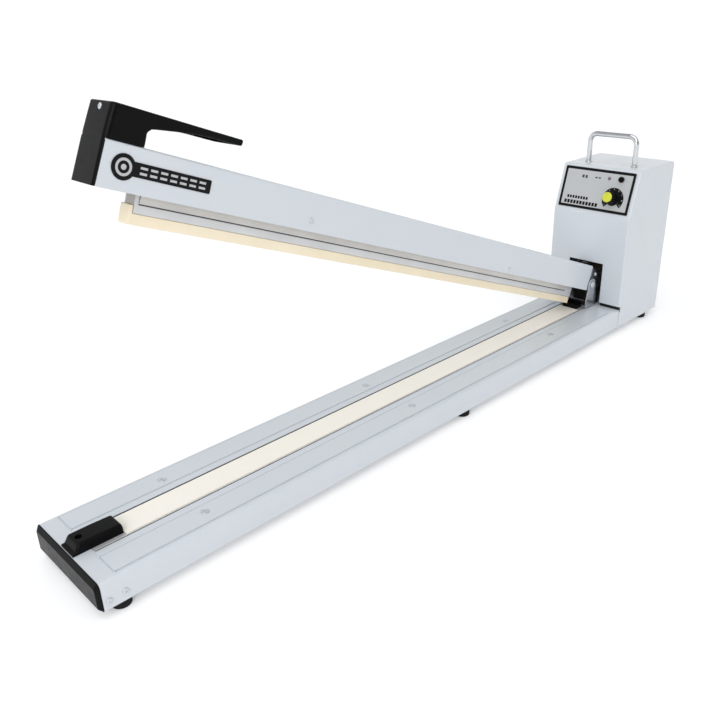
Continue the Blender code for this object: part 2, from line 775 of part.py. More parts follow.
# --- timer knob, drawn about its own axis --------------------------------------------------------
def fluted_outline(radius, lobes=18):
    points = []
    for i in range(lobes * 4):
        ripple = 0.5 if i % 4 < 2 else -0.3
        angle = 2 * math.pi * i / (lobes * 4)
        points.append(((radius + ripple) * math.cos(angle), (radius + ripple) * math.sin(angle)))
    return points


def make_timer_knob():
    knob = loft("timer_knob", "z", [(4.0, fluted_outline(10.9)), (KNOB_HEIGHT, fluted_outline(9.6))])
    join(knob, turned("skirt", "z", (0, 0), [(13.0, 1.6), (13.0, 3.0), (10.6, 5.0)], 24))
    return join(knob, rod("shaft", "z", (0, 0), 3.1, -13.0, 4.5, 16))


def make_knob_cap():
    low = KNOB_HEIGHT + GAP
    profile = [(8.8, low), (8.8, low + 1.3), (7.8, low + 2.3)]
    cap = turned("knob_cap", "z", (0, 0), profile, 24)
    return cut(cap, box("pointer", (-0.6, 0.6), (2, 10), (low + 1.5, low + 4)))


# --- assembly -------------------------------------------------------------------------------------
def build_base(base, looks):
    base.add(make_base_channel(), looks["paint"], 40)
    base.add(make_front_end_cap(), looks["black_plastic"], 30)
    base.add(make_bottom_plate(), looks["zinc"])
    places = [(end, side) for end in range(3) for side in range(2)]
    for end, side in places:
        name = f"foot_{('front', 'middle', 'rear')[end]}_{('near', 'far')[side]}"
        base.add(make_foot(name, FEET_X[end], (-FEET_Y, FEET_Y)[side]), looks["rubber"], 40)
    base.add(make_sealing_bar(), looks["aluminium"])
    base.add(box("heating_wire", (49, 990), (-2.5, 2.5), (34.3, 34.6)), looks["nichrome"])
    base.add(make_cloth_cover(), looks["cloth"])
    base.add(make_front_clamp_cover(), looks["black_plastic"], 35)
    base.add(make_rear_clamp_cover(), looks["black_plastic"], 35)
    base.add(make_terminal("front_terminal", 47, 58), looks["brass"])
    number = 1
    for x in PANEL_SCREWS_X:
        for y in (-PANEL_SCREWS_Y, PANEL_SCREWS_Y):
            base.add(make_panel_screw(f"panel_screw_{number}", x, y), looks["zinc"], 40)
            number += 1
    number = 1
    for x, z in side_screw_places():
        for side in (-1, 1):
            base.add(make_side_screw(f"side_screw_{number}", x, z, side), looks["zinc"], 40)
            number += 1


def build_box(base, panel, looks):
    base.add(make_hinge_bracket(), looks["steel"], 30)
    base.add(make_hinge_pin(), looks["zinc"], 40)
    base.add(make_arm_stop(), looks["rubber"])
    base.add(make_control_box(), looks["paint"], 30)
    base.add(make_rear_cover(), looks["paint"], 30)
    base.add(make_rear_screw("rear_screw_near", -1), looks["zinc"], 40)
    base.add(make_rear_screw("rear_screw_far", 1), looks["zinc"], 40)
    base.add(make_cord_gland(), looks["black_plastic"], 40)
    base.add(make_carry_handle(), looks["chrome"], 50)
    base.add(make_transformer_core(), looks["core_steel"])
    base.add(make_transformer_coil(), looks["winding"], 30)
    base.add(make_circuit_board(), looks["board"])
    base.add(make_microswitch(), looks["black_plastic"])
    coil = coil_path("z", (RETURN_SPRING_X, 0), 8.0, 15.6, 63.4, 9)
    base.add(swept("return_spring", coil, 1.3, 6), looks["zinc"], 60)
    panel.add(make_control_label(), looks["label_silver"])
    panel.add(make_fuse_holder(), looks["black_plastic"], 40)
    panel.add(make_indicator_lamp(), looks["lens"], 40)
    panel.add(make_potentiometer(), looks["zinc"], 40)


def build_arm(arm, presser, looks):
    arm.add(make_arm_channel(), looks["paint"], 40)
    arm.add(make_arm_handle(), looks["black_plastic"], 30)
    arm.add(make_handle_screw(), looks["zinc"], 40)
    arm.add(make_presser_rail(), looks["stainless"])
    arm.add(make_arm_bracket(), looks["steel"], 30)
    for name, place in zip(("arm_screw_front", "arm_screw_rear"), arm_screw_places()):
        arm.add(make_arm_screw(name, *place), looks["zinc"], 40)
    arm.add(make_arm_label(), looks["label_black"])
    for name, x in zip(("presser_spring_front", "presser_spring_rear"), STUDS_X):
        coil = coil_path("z", (x, 0), 5.0, 49.9, 71.4, 4)[1:-1]
        arm.add(swept(name, coil, 0.6, 5), looks["zinc"], 60)
    presser.add(make_presser_bar(), looks["aluminium"])
    presser.add(make_silicone_strip(), looks["silicone"])


def build_small_movers(base, knob, looks):
    knob.add(make_timer_knob(), looks["black_plastic"], 30)
    knob.add(make_knob_cap(), looks["yellow"], 40)
    lever_turn = Matrix.Rotation(math.radians(LEVER_DROP_DEG), 4, "Y")
    x, z = SWITCH_HINGE
    lever = Group("lever_pivot", base, (x, 0, z), lever_turn)
    lever.add(make_switch_lever(), looks["zinc"])
    slide = Group("tension_slide", base, (988.5, 0, 37.8))
    slide.add(make_terminal("rear_terminal", 985.5, 991.5), looks["brass"])
    coil = coil_path("x", (0, 37.8), 2.4, 991.9, 1000.6, 5)[1:-1]
    base.add(swept("tension_spring", coil, 0.45, 5), looks["zinc"], 60)


def main():
    for old in list(bpy.data.objects):
        bpy.data.objects.remove(old)
    looks = make_materials()
    floor = Matrix.Translation(Vector((-OVERALL_LENGTH / 2, 0, FOOT_HEIGHT)) * MM)
    base = Group("sealer", turn=floor)
    panel = Group("panel_slope", base, (BOX_FRONT, 0, SLOPE_START), panel_turn())
    panel.origin = Vector((0, 0, 0))
    knob = Group("knob_axis", panel, (*KNOB_AT, 0))
    knob.origin = Vector((0, 0, 0))
    open_turn = Matrix.Rotation(math.radians(ARM_OPEN_DEG), 4, "Y")
    arm = Group("arm_pivot", base, (PIVOT_X, 0, PIVOT_Z), open_turn)
    presser = Group("presser_slide", arm, ((PRESSER_FRONT + PRESSER_REAR) / 2, 0, 58))
    build_base(base, looks)
    build_box(base, panel, looks)
    build_arm(arm, presser, looks)
    build_small_movers(base, knob, looks)
    bpy.context.view_layer.update()


main()
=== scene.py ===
"""Looks of the long-arm impulse heat sealer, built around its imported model.

Pieces are drawn in millimetres in the machine's own frame: X runs from the front end of the base
to the control box, Y is across the machine and Z is up from the lower edge of the base. The arm
is drawn closed. The ON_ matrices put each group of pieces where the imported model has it.
"""
import json
import math

import bmesh
import bpy
from mathutils import Matrix, Vector

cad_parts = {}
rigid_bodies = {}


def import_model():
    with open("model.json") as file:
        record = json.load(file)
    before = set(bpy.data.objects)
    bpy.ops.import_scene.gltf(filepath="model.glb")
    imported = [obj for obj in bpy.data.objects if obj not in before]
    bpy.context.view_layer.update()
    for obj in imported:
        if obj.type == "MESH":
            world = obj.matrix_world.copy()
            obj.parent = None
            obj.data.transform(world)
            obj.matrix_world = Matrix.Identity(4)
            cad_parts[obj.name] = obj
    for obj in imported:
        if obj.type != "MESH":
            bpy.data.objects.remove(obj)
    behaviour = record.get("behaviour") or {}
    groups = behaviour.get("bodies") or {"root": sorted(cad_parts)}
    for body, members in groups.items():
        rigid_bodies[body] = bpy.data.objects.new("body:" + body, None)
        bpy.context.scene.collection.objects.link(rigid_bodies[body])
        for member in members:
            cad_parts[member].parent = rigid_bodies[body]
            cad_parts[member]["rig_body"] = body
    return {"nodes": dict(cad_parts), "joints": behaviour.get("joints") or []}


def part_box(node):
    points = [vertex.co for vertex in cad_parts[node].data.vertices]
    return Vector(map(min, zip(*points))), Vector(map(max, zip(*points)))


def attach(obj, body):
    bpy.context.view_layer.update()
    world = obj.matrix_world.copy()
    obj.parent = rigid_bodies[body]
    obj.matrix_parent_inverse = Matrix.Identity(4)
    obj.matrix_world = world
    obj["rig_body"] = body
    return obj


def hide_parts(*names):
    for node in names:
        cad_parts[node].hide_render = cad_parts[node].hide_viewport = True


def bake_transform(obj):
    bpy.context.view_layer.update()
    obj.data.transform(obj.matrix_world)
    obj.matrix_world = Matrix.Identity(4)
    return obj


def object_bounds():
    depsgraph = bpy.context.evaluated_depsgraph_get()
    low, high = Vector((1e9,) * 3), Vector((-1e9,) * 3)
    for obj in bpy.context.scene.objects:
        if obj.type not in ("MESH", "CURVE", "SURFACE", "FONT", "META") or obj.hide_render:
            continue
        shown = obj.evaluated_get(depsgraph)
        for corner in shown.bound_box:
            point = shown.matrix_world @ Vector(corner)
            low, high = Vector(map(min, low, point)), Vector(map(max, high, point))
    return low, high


MM = 0.001

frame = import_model()
cad_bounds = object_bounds()
joints = {joint["name"]: joint for joint in frame["joints"]}

# --- driving dimensions ---
BASE_FRONT = 5.1
BASE_REAR = 1164.5
BASE_HALF = 75.0
BASE_HEIGHT = 34.0
BASE_SHEET = 1.5
BASE_BEND = 6.0
STRIP_STEP = 0.3  # the narrow embossed strip beside the sealing bar
PANEL_STEP = 0.9  # the wide embossed panel outside it
CREASE = 1.0  # depth of the pressed lines round the embossed areas
EMBOSS_FRONT = 25.0
EMBOSS_REAR = 1003.0
SLOT_FRONT = 27.2
SLOT_HALF = 22.4
SEAL_FRONT = 66.0
SEAL_REAR = 980.0
SIDES = (("near", -1), ("far", 1))

PANEL_SCREWS = [(x, y) for x in (150.0, 500.0, 850.0) for y in (-47.0, 47.0)]
SIDE_SCREWS = ((12.0, 10.1), (30.7, 11.4))
SCREW_HOLE = 2.1
THROUGH_TOP = (28, 40)  # the height of a cut through the top of the base
DIMPLE_RADIUS = 6.2
DIMPLE_DEPTH = 0.7
FEET_X = (("front", 29.0), ("middle", 595.0), ("rear", 1135.0))
FEET_Y = 62.0

CLOTH_HALF = 18.6
CLOTH_TOP = 35.05
CLOTH_SHEET = 0.22
WIRE_RIDGE = 0.16  # how far the cloth stands up over the wire
CLOTH_SLACK = 0.05
WIRE_HALF = 2.5
CLAMP_HALF = 14.3
CLAMP_ROUND = 4.0
WIRE_SPRING_X = (992.3, 1000.2)
WIRE_SPRING_Z = 37.8

PIVOT_AT = (1008.0, 78.0)
RETURN_SPRING_X = 1063.0
RETURN_SPRING_Z = (12.0, 88.0)  # its anchor in the base, and the arm's pin when closed
RIVET_AT = (1018, 98)

ARM_FRONT = 36.2
ARM_REAR = 998.0
ARM_HALF = 25.0
ARM_BOTTOM = 66.0
ARM_TOP = 111.0
ARM_SHEET = 1.5
ARM_BEND = 3.0
ARM_LEAN = 2.7  # the upper edge of the arm's front end lies this far behind the lower one
ARM_SCREWS = ((305, 79), (735, 73))
STUDS_X = (210.0, 830.0)
BADGE_AT = (60, 89.2)
BADGE_BARS_X = 77.5

NOSE_FRONT = 34.0
NECK_FRONT = 36.8  # the shadow groove between nose and block
HANDLE_HALF = 24.6
HANDLE_TOP = 144.5
HANDLE_WALL = 2.4
HANDLE_BLOCK_REAR = 79.0
GRIP_REAR = 189.3
HANDLE_SCREW_AT = (0.0, 138.6)

CARRY_X = 1082.0
CARRY_HALF_SPAN = 45.0
CARRY_TOP = 337.3
CARRY_ROD = 4.5
CARRY_BEND = 13.5
BOX_TOP = 282.0
BOX_WALL_X = (1028.7, 1030.5)
BOX_GAP_TOP = 40.2  # the dark gap under the box's front wall
GLAND_AT = (35, 62)

# across and up the sloping panel, seen from the front
KNOB_AT = (35.5, 34.0)
KNOB_TOP = 22.2
KNOB_RIBS = 18
DIAL_AT = (35.5, 32.4)
DIAL_START = -42
DIAL_END = 228
FUSE_AT = (44.0, 67.5)
LAMP_AT = (20.5, 67.0)
PANEL_FILM = 1.1  # the printed film's face above the box
INK = 0.05  # thickness of the printed marks

FLOOR_GLOW = 0.2  # the table is lit from below, so contact shadows stay faint
FLOOR_HALF = 40000.0
BACKDROP = 1.06  # strength of the white backdrop

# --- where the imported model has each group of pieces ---
base_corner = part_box("base_channel")[0]
ON_BASE = Matrix.Translation((base_corner.x - BASE_FRONT * MM, 0, base_corner.z))

arm_pivot = Vector(joints["arm_hinge"]["pos_m"])
arm_open = math.radians(joints["arm_hinge"]["range_deg"][1])
arm_swing = Matrix.Rotation(arm_open, 4, "Y")
ON_ARM = Matrix.Translation(arm_pivot) @ arm_swing @ Matrix.Translation(-arm_pivot) @ ON_BASE

panel_out = Vector(joints["timer_knob_turn"]["axis"])
panel_right = Vector((0, -1, 0))
panel_up = panel_out.cross(panel_right)
panel_axes = Matrix((panel_right, panel_up, panel_out)).transposed().to_4x4()
knob_centre = Vector(joints["timer_knob_turn"]["pos_m"])
ON_KNOB = Matrix.Translation(knob_centre) @ panel_axes
ON_PANEL = ON_KNOB @ Matrix.Translation((-KNOB_AT[0] * MM, -KNOB_AT[1] * MM, 0))

# turns that take +Z to one side of the machine
QUARTER = math.radians(90)
TO_NEAR, TO_FAR = (Matrix.Rotation(angle, 4, "X") for angle in (QUARTER, -QUARTER))
TO_REAR, TO_FRONT = (Matrix.Rotation(angle, 4, "Y") for angle in (QUARTER, -QUARTER))


# --- outlines ---
def arc(centre, radius, start_deg, end_deg, steps):
    """Points of an arc, both ends included."""
    points = []
    for i in range(steps + 1):
        angle = math.radians(start_deg + (end_deg - start_deg) * i / steps)
        points.append((centre[0] + radius * math.cos(angle), centre[1] + radius * math.sin(angle)))
    return points


def rounded_rectangle(x0, x1, y0, y1, radius):
    left, right, low, high = x0 + radius, x1 - radius, y0 + radius, y1 - radius
    outline = []
    for i, corner in enumerate(((right, low), (right, high), (left, high), (left, low))):
        outline += arc(corner, radius, 90 * i - 90, 90 * i, 6)
    return outline


def circle(centre, radius, sides):
    return arc(centre, radius, 0, 360 - 360 / sides, sides - 1)


def mirrored(half):
    """A symmetric outline from its right half, listed from the bottom up."""
    return half + [(-a, b) for a, b in reversed(half)]


def soft_step(share):
    """Eases from 0 to 1, level at both ends."""
    return share * share * (3 - 2 * share)


# --- meshes ---
def add_object(name, data):
    """A new object in the scene that holds a mesh, text, lamp or camera."""
    made = bpy.data.objects.new(name, data)
    bpy.context.scene.collection.objects.link(made)
    return made


def evaluated_mesh(piece):
    """The mesh of a piece with its modifiers applied, or of a text's letters."""
    shown = piece.evaluated_get(bpy.context.evaluated_depsgraph_get())
    return bpy.data.meshes.new_from_object(shown)


def make_object(name, points, faces):
    mesh = bpy.data.meshes.new(name)
    mesh.from_pydata([tuple(c * MM for c in p) for p in points], [], faces)
    shape = bmesh.new()
    shape.from_mesh(mesh)
    bmesh.ops.recalc_face_normals(shape, faces=shape.faces)
    shape.to_mesh(mesh)
    shape.free()
    return add_object(name, mesh)


def quads(rows, across, first=0, closed=True):
    """Faces between rows of points; closed also joins each row's last point to its first."""
    faces = []
    for row in range(rows - 1):
        near = first + row * across
        for i in range(across if closed else across - 1):
            j = (i + 1) % across
            faces.append((near + i, near + j, near + across + j, near + across + i))
    return faces


def solid_faces(rows, across, first=0):
    """Faces of a solid through rows of points, with its two ends."""
    last = first + (rows - 1) * across
    ends = [tuple(range(first, first + across)), tuple(range(last, last + across))]
    return ends + quads(rows, across, first)


def to_axis(axis, a, b, along):
    """A point from its place in an outline and its place along the axis the outline is run."""
    if axis == "x":
        return (along, a, b)
    if axis == "y":
        return (a, along, b)
    return (a, b, along)


def loft(name, axis, sections):
    """A solid through outlines of equal length: sections lists (place along axis, outline)."""
    points = [to_axis(axis, a, b, along) for along, outline in sections for a, b in outline]
    return make_object(name, points, solid_faces(len(sections), len(sections[0][1])))


def prism(name, axis, outline, low, high):
    return loft(name, axis, [(low, outline), (high, outline)])


def box(name, x, y, z):
    return prism(name, "z", [(x[0], y[0]), (x[1], y[0]), (x[1], y[1]), (x[0], y[1])], *z)


def rod(name, axis, centre, radius, low, high, sides):
    return prism(name, axis, circle(centre, radius, sides), low, high)


def turned(name, axis, centre, profile, sides):
    """A turned solid: profile lists (radius, place along axis) from one end to the other."""
    return loft(name, axis, [(along, circle(centre, radius, sides)) for radius, along in profile])


def ring_plate(name, outer, inner, low, high):
    """A flat plate between two outlines of equal length, one inside the other."""
    count = len(outer)
    loops = [(outer, low), (outer, high), (inner, high), (inner, low)]
    points = [(a, b, z) for outline, z in loops for a, b in outline]
    last = 3 * count
    closing = [(last + i, last + (i + 1) % count, (i + 1) % count, i) for i in range(count)]
    return make_object(name, points, quads(4, count) + closing)


def swept(name, path, radius, sides):
    """A round wire along a list of points, with flat ends."""
    centres = [Vector(p) for p in path]
    points = []
    last_side = None
    for i, centre in enumerate(centres):
        ahead = centres[min(i + 1, len(centres) - 1)]
        behind = centres[max(i - 1, 0)]
        tangent = (ahead - behind).normalized()
        if last_side is None:
            last_side = tangent.orthogonal()
        side = (last_side - tangent * last_side.dot(tangent)).normalized()
        last_side = side
        up = tangent.cross(side)
        for k in range(sides):
            angle = 2 * math.pi * k / sides
            points.append(centre + (side * math.cos(angle) + up * math.sin(angle)) * radius)
    return make_object(name, points, solid_faces(len(centres), sides))


def coil_path(axis, centre, radius, low, high, turns, steps=28):
    points = []
    count = int(turns * steps)
    for i in range(count + 1):
        angle = 2 * math.pi * i / steps
        a = centre[0] + radius * math.cos(angle)
        b = centre[1] + radius * math.sin(angle)
        points.append(to_axis(axis, a, b, low + (high - low) * i / count))
    return points


def combine(piece, tools, operation):
    """Cuts tools out of a piece, or joins them to it, and removes them."""
    for tool in tools:
        modifier = piece.modifiers.new("combine", "BOOLEAN")
        modifier.operation = operation
        modifier.solver = "EXACT"
        modifier.object = tool
        mesh = evaluated_mesh(piece)
        piece.modifiers.clear()
        piece.data = mesh
        bpy.data.objects.remove(tool)
    return piece


def cut(piece, *tools):
    return combine(piece, tools, "DIFFERENCE")


def join(piece, *tools):
    return combine(piece, tools, "UNION")


def round_edges(mesh, width, segments=3, angle_deg=32, chosen=None):
    """Rounds the mesh's sharp edges, or those of them that chosen picks."""
    shape = bmesh.new()
    shape.from_mesh(mesh)
    limit = math.radians(angle_deg)
    sharp = [e for e in shape.edges if len(e.link_faces) == 2 and e.calc_face_angle(0) > limit]
    if chosen:
        sharp = [e for e in sharp if chosen(e)]
    bmesh.ops.bevel(
        shape,
        geom=sharp,
        offset=width * MM,
        segments=segments,
        profile=0.5,
        affect="EDGES",
        clamp_overlap=True,
    )
    shape.to_mesh(mesh)
    shape.free()


def dress(piece, look, place=ON_BASE, body="base", nodes=(), bevel=0.0, segments=3, smooth=35):
    """Rounds and shades a piece, gives it its material, place and body, and hides the CAD nodes it
    stands for.
    """
    if bevel:
        round_edges(piece.data, bevel, segments)
    piece.data.shade_smooth()
    piece.data.set_sharp_from_angle(angle=math.radians(smooth))
    piece.modifiers.new("normals", "WEIGHTED_NORMAL").keep_sharp = True
    piece.data.materials.clear()
    piece.data.materials.append(looks[look])
    piece.matrix_world = place
    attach(piece, body)
    if nodes:
        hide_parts(*nodes)


def refined(node, look, bevel, segments=2, place=ON_BASE, body="base", cuts=()):
    """A CAD node's own shape as one clean mesh with softened edges, in its group's frame."""
    mesh = frame["nodes"][node].data.copy()
    mesh.transform(place.inverted())
    shape = bmesh.new()
    shape.from_mesh(mesh)
    bmesh.ops.remove_doubles(shape, verts=shape.verts, dist=2e-6)
    bmesh.ops.dissolve_limit(
        shape, angle_limit=math.radians(0.5), verts=shape.verts, edges=shape.edges
    )
    fresh = bpy.data.meshes.new(node + "_fine")
    shape.to_mesh(fresh)
    shape.free()
    bpy.data.meshes.remove(mesh)
    piece = cut(add_object(node + "_fine", fresh), *cuts)
    dress(piece, look, place, body, [node], bevel, segments)


def follow(piece, start, end, nodes, group=ON_BASE):
    """A spring that runs between two bodies, taken off its body and fixed in its group's place;
    start and end are drawn in its group's frame.
    """
    world = group.copy()
    piece.parent = None
    piece.matrix_world = world
    del piece["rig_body"]
    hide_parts(*nodes)
    start, end = (world @ (Vector(point) * MM) for point in (start, end))
    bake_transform(piece)


# --- materials ---
MIX_COLOURS = (6, 7)  # where a Mix node takes its two colours
MIX_RESULT = 2  # and where it gives the mixed one


def feed(tree, node, **values):
    """Sets a node's sockets by name, each to a constant or to another node's output."""
    for name, value in values.items():
        socket = node.inputs[name.replace("_", " ")]
        if isinstance(value, bpy.types.NodeSocket):
            tree.links.new(value, socket)
        else:
            socket.default_value = value
    return node


def add_node(tree, kind, **values):
    return feed(tree, tree.nodes.new("ShaderNode" + kind), **values)


class Look:
    """A material: one Principled shader, and the nodes that vary it over the surface."""

    def __init__(self, name, colour, roughness, metallic=0.0, **constants):
        self.slot = name
        self.material = bpy.data.materials.new(name + "_finish")
        self.material.use_nodes = True
        self.tree = self.material.node_tree
        self.shader = self.tree.nodes["Principled BSDF"]
        self.colour = (*colour, 1.0)
        self.shade(Base_Color=self.colour, Roughness=roughness, Metallic=metallic, **constants)
        self.place = self.tree.nodes.new("ShaderNodeTexCoord").outputs["Object"]
        self.last_bump = None

    def shade(self, **values):
        feed(self.tree, self.shader, **values)
        return self

    def stretch(self, x, y, z):
        """Object coordinates multiplied along each axis, for grain that runs one way."""
        node = add_node(self.tree, "Mapping", Vector=self.place, Scale=(x, y, z))
        return node.outputs["Vector"]

    def noise(self, scale, detail=2.0, where=None):
        where = where or self.place
        node = add_node(self.tree, "TexNoise", Vector=where, Scale=scale, Detail=detail)
        return node.outputs["Fac"]

    def cells(self, scale):
        return add_node(self.tree, "TexVoronoi", Vector=self.place, Scale=scale).outputs["Distance"]

    def waves(self, scale, axis, distortion=0.0):
        node = add_node(self.tree, "TexWave", Vector=self.place, Scale=scale)
        feed(self.tree, node, Distortion=distortion)
        node.bands_direction = axis
        return node.outputs["Fac"]

    def product(self, first, second):
        node = self.tree.nodes.new("ShaderNodeMath")
        node.operation = "MULTIPLY"
        self.tree.links.new(first, node.inputs[0])
        self.tree.links.new(second, node.inputs[1])
        return node.outputs["Value"]

    def ramp(self, value, low, high, start=0.3, end=0.7):
        """Maps value, from start to end, onto low to high."""
        limits = {"From_Min": start, "From_Max": end, "To_Min": low, "To_Max": high}
        return add_node(self.tree, "MapRange", Value=value, **limits).outputs["Result"]

    def tint(self, value, other, start=0.3, end=0.7):
        """The base colour turns to another colour where value is high."""
        node = add_node(self.tree, "Mix", Factor=self.ramp(value, 0.0, 1.0, start, end))
        node.data_type = "RGBA"
        first, second = (node.inputs[i] for i in MIX_COLOURS)
        first.default_value = self.colour
        second.default_value = (*other, 1.0)
        before = self.shader.inputs["Base Color"].links
        if before:
            self.tree.links.new(before[0].from_socket, first)
        return self.shade(Base_Color=node.outputs[MIX_RESULT])

    def rough(self, value, low, high):
        return self.shade(Roughness=self.ramp(value, low, high))

    def bump(self, height, depth_mm, strength=0.5):
        node = add_node(self.tree, "Bump", Strength=strength, Height=height)
        feed(self.tree, node, Distance=depth_mm * MM)
        if self.last_bump:
            feed(self.tree, node, Normal=self.last_bump)
        self.last_bump = node.outputs["Normal"]
        return self.shade(Normal=self.last_bump)


def make_paint():
    """Semi-gloss powder paint: fine orange peel, faint unevenness and handling marks."""
    look = Look("paint", (0.56, 0.60, 0.64), 0.36, Coat_Weight=0.6, Coat_Roughness=0.2)
    look.tint(look.noise(9, 3), (0.575, 0.61, 0.647))
    look.tint(look.noise(1900, 1), (0.53, 0.57, 0.61), 0.62, 0.8)
    look.rough(look.noise(35, 4), 0.3, 0.44)
    look.bump(look.noise(850, 2), 0.05, 0.35)
    return look.bump(look.noise(90, 1), 0.12, 0.12)


def make_black_plastic():
    """Moulded black plastic with a fine spark-eroded grain."""
    look = Look("black_plastic", (0.0022, 0.0022, 0.0026), 0.36, Specular_IOR_Level=0.09)
    look.tint(look.noise(60, 4), (0.0032, 0.0032, 0.0036))
    look.rough(look.noise(110, 5), 0.28, 0.38)
    look.bump(look.cells(1300), 0.05, 0.25)
    return look.bump(look.noise(45, 2), 0.1, 0.06)


def make_rubber():
    look = Look("rubber", (0.008, 0.008, 0.008), 0.8, Specular_IOR_Level=0.15)
    look.tint(look.noise(300, 4), (0.014, 0.0136, 0.0132))
    look.rough(look.noise(200, 3), 0.65, 0.9)
    return look.bump(look.noise(1500, 3), 0.08, 0.5)


def make_brushed(name, colour, other, roughness, metallic=1.0):
    """Metal with fine drawing lines along X; a lower metallic value suits an oxidised surface."""
    look = Look(name, colour, roughness, metallic)
    lines = look.noise(1, 4, look.stretch(6, 900, 900))
    look.tint(look.noise(24, 3), other)
    look.rough(lines, roughness - 0.09, roughness + 0.12)
    return look.bump(lines, 0.02, 0.3)


def make_plated(name, colour, other, roughness, metallic=1.0):
    """Plated metal with a faint crystalline mottling."""
    look = Look(name, colour, roughness, metallic)
    look.tint(look.cells(420), other, 0.1, 0.6)
    look.rough(look.noise(260, 3), roughness - 0.07, roughness + 0.1)
    return look.bump(look.noise(900, 2), 0.015, 0.3)


def make_cloth():
    """Glass cloth with a non-stick coating: plain weave, faint warm and cool patches."""
    coating = {"Sheen_Weight": 0.15, "Coat_Weight": 0.12, "Coat_Roughness": 0.3}
    look = Look("cloth", (0.87, 0.825, 0.75), 0.5, **coating)
    weave = look.product(look.waves(420, "X"), look.waves(420, "Y"))
    look.tint(look.noise(14, 3), (0.89, 0.845, 0.785))
    look.tint(look.noise(5, 2), (0.87, 0.84, 0.755))
    look.tint(weave, (0.79, 0.745, 0.67), 0.5, 1.0)
    look.rough(look.noise(70, 3), 0.4, 0.6)
    look.bump(weave, 0.08, 0.5)
    return look.bump(look.noise(60, 2), 0.3, 0.15)


def make_silicone():
    """Cream silicone rubber: soft inner glow, dust specks, a faint extruded grain."""
    glow = {"Subsurface_Weight": 0.12, "Subsurface_Scale": 0.003}
    look = Look("silicone", (0.83, 0.725, 0.53), 0.5, **glow)
    look.tint(look.noise(11, 3), (0.87, 0.775, 0.60))
    look.tint(look.noise(650, 2), (0.70, 0.60, 0.42), 0.68, 0.8)
    look.rough(look.noise(90, 3), 0.4, 0.62)
    return look.bump(look.noise(1, 3, look.stretch(12, 700, 700)), 0.03, 0.3)


def make_film(name, colour, other, roughness, gloss):
    """Printed plastic film: almost flat, with a fine ink grain."""
    look = Look(name, colour, roughness, Specular_IOR_Level=gloss)
    look.tint(look.noise(1400, 2), other)
    look.rough(look.noise(60, 3), roughness - 0.06, roughness + 0.08)
    return look.bump(look.noise(1100, 1), 0.01, 0.25)


def make_gloss(name, colour, other):
    """Glossy moulded plastic with faint flow marks."""
    look = Look(name, colour, 0.25, Coat_Weight=0.3, Coat_Roughness=0.1)
    look.tint(look.noise(180, 3), other)
    look.rough(look.noise(140, 3), 0.2, 0.34)
    return look.bump(look.noise(500, 2), 0.02, 0.2)


def make_core_steel():
    """Dark stacked sheets, seen as fine lines across X."""
    look = Look("core_steel", (0.09, 0.09, 0.1), 0.45, 0.6)
    sheets = look.waves(320, "X")
    look.tint(sheets, (0.045, 0.045, 0.05))
    look.rough(look.noise(90, 3), 0.35, 0.6)
    return look.bump(sheets, 0.12, 0.6)


def make_winding():
    """Lacquered wire, turn upon turn."""
    look = Look("winding", (0.06, 0.032, 0.018), 0.45)
    turns = look.waves(260, "Z", 0.4)
    look.tint(turns, (0.03, 0.017, 0.01))
    look.rough(look.noise(80, 3), 0.3, 0.55)
    return look.bump(turns, 0.25, 0.6)


def make_board():
    """A green board with its copper showing through the lacquer."""
    look = Look("board", (0.03, 0.17, 0.08), 0.4, Coat_Weight=0.3, Coat_Roughness=0.2)
    look.tint(look.cells(230), (0.05, 0.26, 0.13), 0.1, 0.5)
    look.rough(look.noise(120, 3), 0.3, 0.5)
    return look.bump(look.cells(230), 0.05, 0.4)


def make_looks():
    made = [
        make_paint(),
        make_black_plastic(),
        make_rubber(),
        make_brushed("aluminium", (0.66, 0.665, 0.67), (0.60, 0.605, 0.615), 0.46, 0.55),
        make_brushed("stainless", (0.56, 0.545, 0.52), (0.50, 0.485, 0.46), 0.3),
        make_plated("steel", (0.60, 0.61, 0.63), (0.52, 0.53, 0.56), 0.32),
        make_plated("zinc", (0.66, 0.69, 0.72), (0.58, 0.61, 0.64), 0.34, 0.7),
        make_plated("chrome", (0.62, 0.63, 0.645), (0.59, 0.60, 0.615), 0.12),
        make_plated("brass", (0.76, 0.58, 0.27), (0.66, 0.49, 0.21), 0.32),
        make_brushed("nichrome", (0.42, 0.40, 0.37), (0.34, 0.32, 0.30), 0.36),
        make_cloth(),
        make_silicone(),
        make_film("label_silver", (0.46, 0.475, 0.48), (0.43, 0.445, 0.455), 0.42, 0.3),
        make_film("label_black", (0.004, 0.004, 0.0045), (0.007, 0.007, 0.0075), 0.42, 0.12),
        make_gloss("yellow", (0.60, 0.63, 0.045), (0.54, 0.57, 0.03)),
        make_gloss("lens", (0.15, 0.10, 0.15), (0.19, 0.13, 0.18)),
        make_core_steel(),
        make_winding(),
        make_board(),
    ]
    return {look.slot: look.material for look in made}


looks = make_looks()


# --- screws ---
def make_screw_mesh(head_radius, head_height, shank):
    """A pan-head screw along Z with a cross recess; its head's underside is at zero."""
    dome = arc((0, 0), 1, 0, 70, 5)
    rim = head_height * 0.35
    profile = [(head_radius * 0.5, -shank), (head_radius * 0.5, 0), (head_radius, 0)]
    profile += [(head_radius * (0.35 + 0.65 * a), rim + (head_height - rim) * b) for a, b in dome]
    screw = turned("screw", "z", (0, 0), profile, 32)
    arm = (-head_radius * 0.45, head_radius * 0.45)
    slim = (-head_radius * 0.11, head_radius * 0.11)
    deep = (head_height * 0.62, head_height + 1)
    cut(screw, join(box("cross", arm, slim, deep), box("cross_arm", slim, arm, deep)))
    mesh = screw.data
    bpy.data.objects.remove(screw)
    return mesh


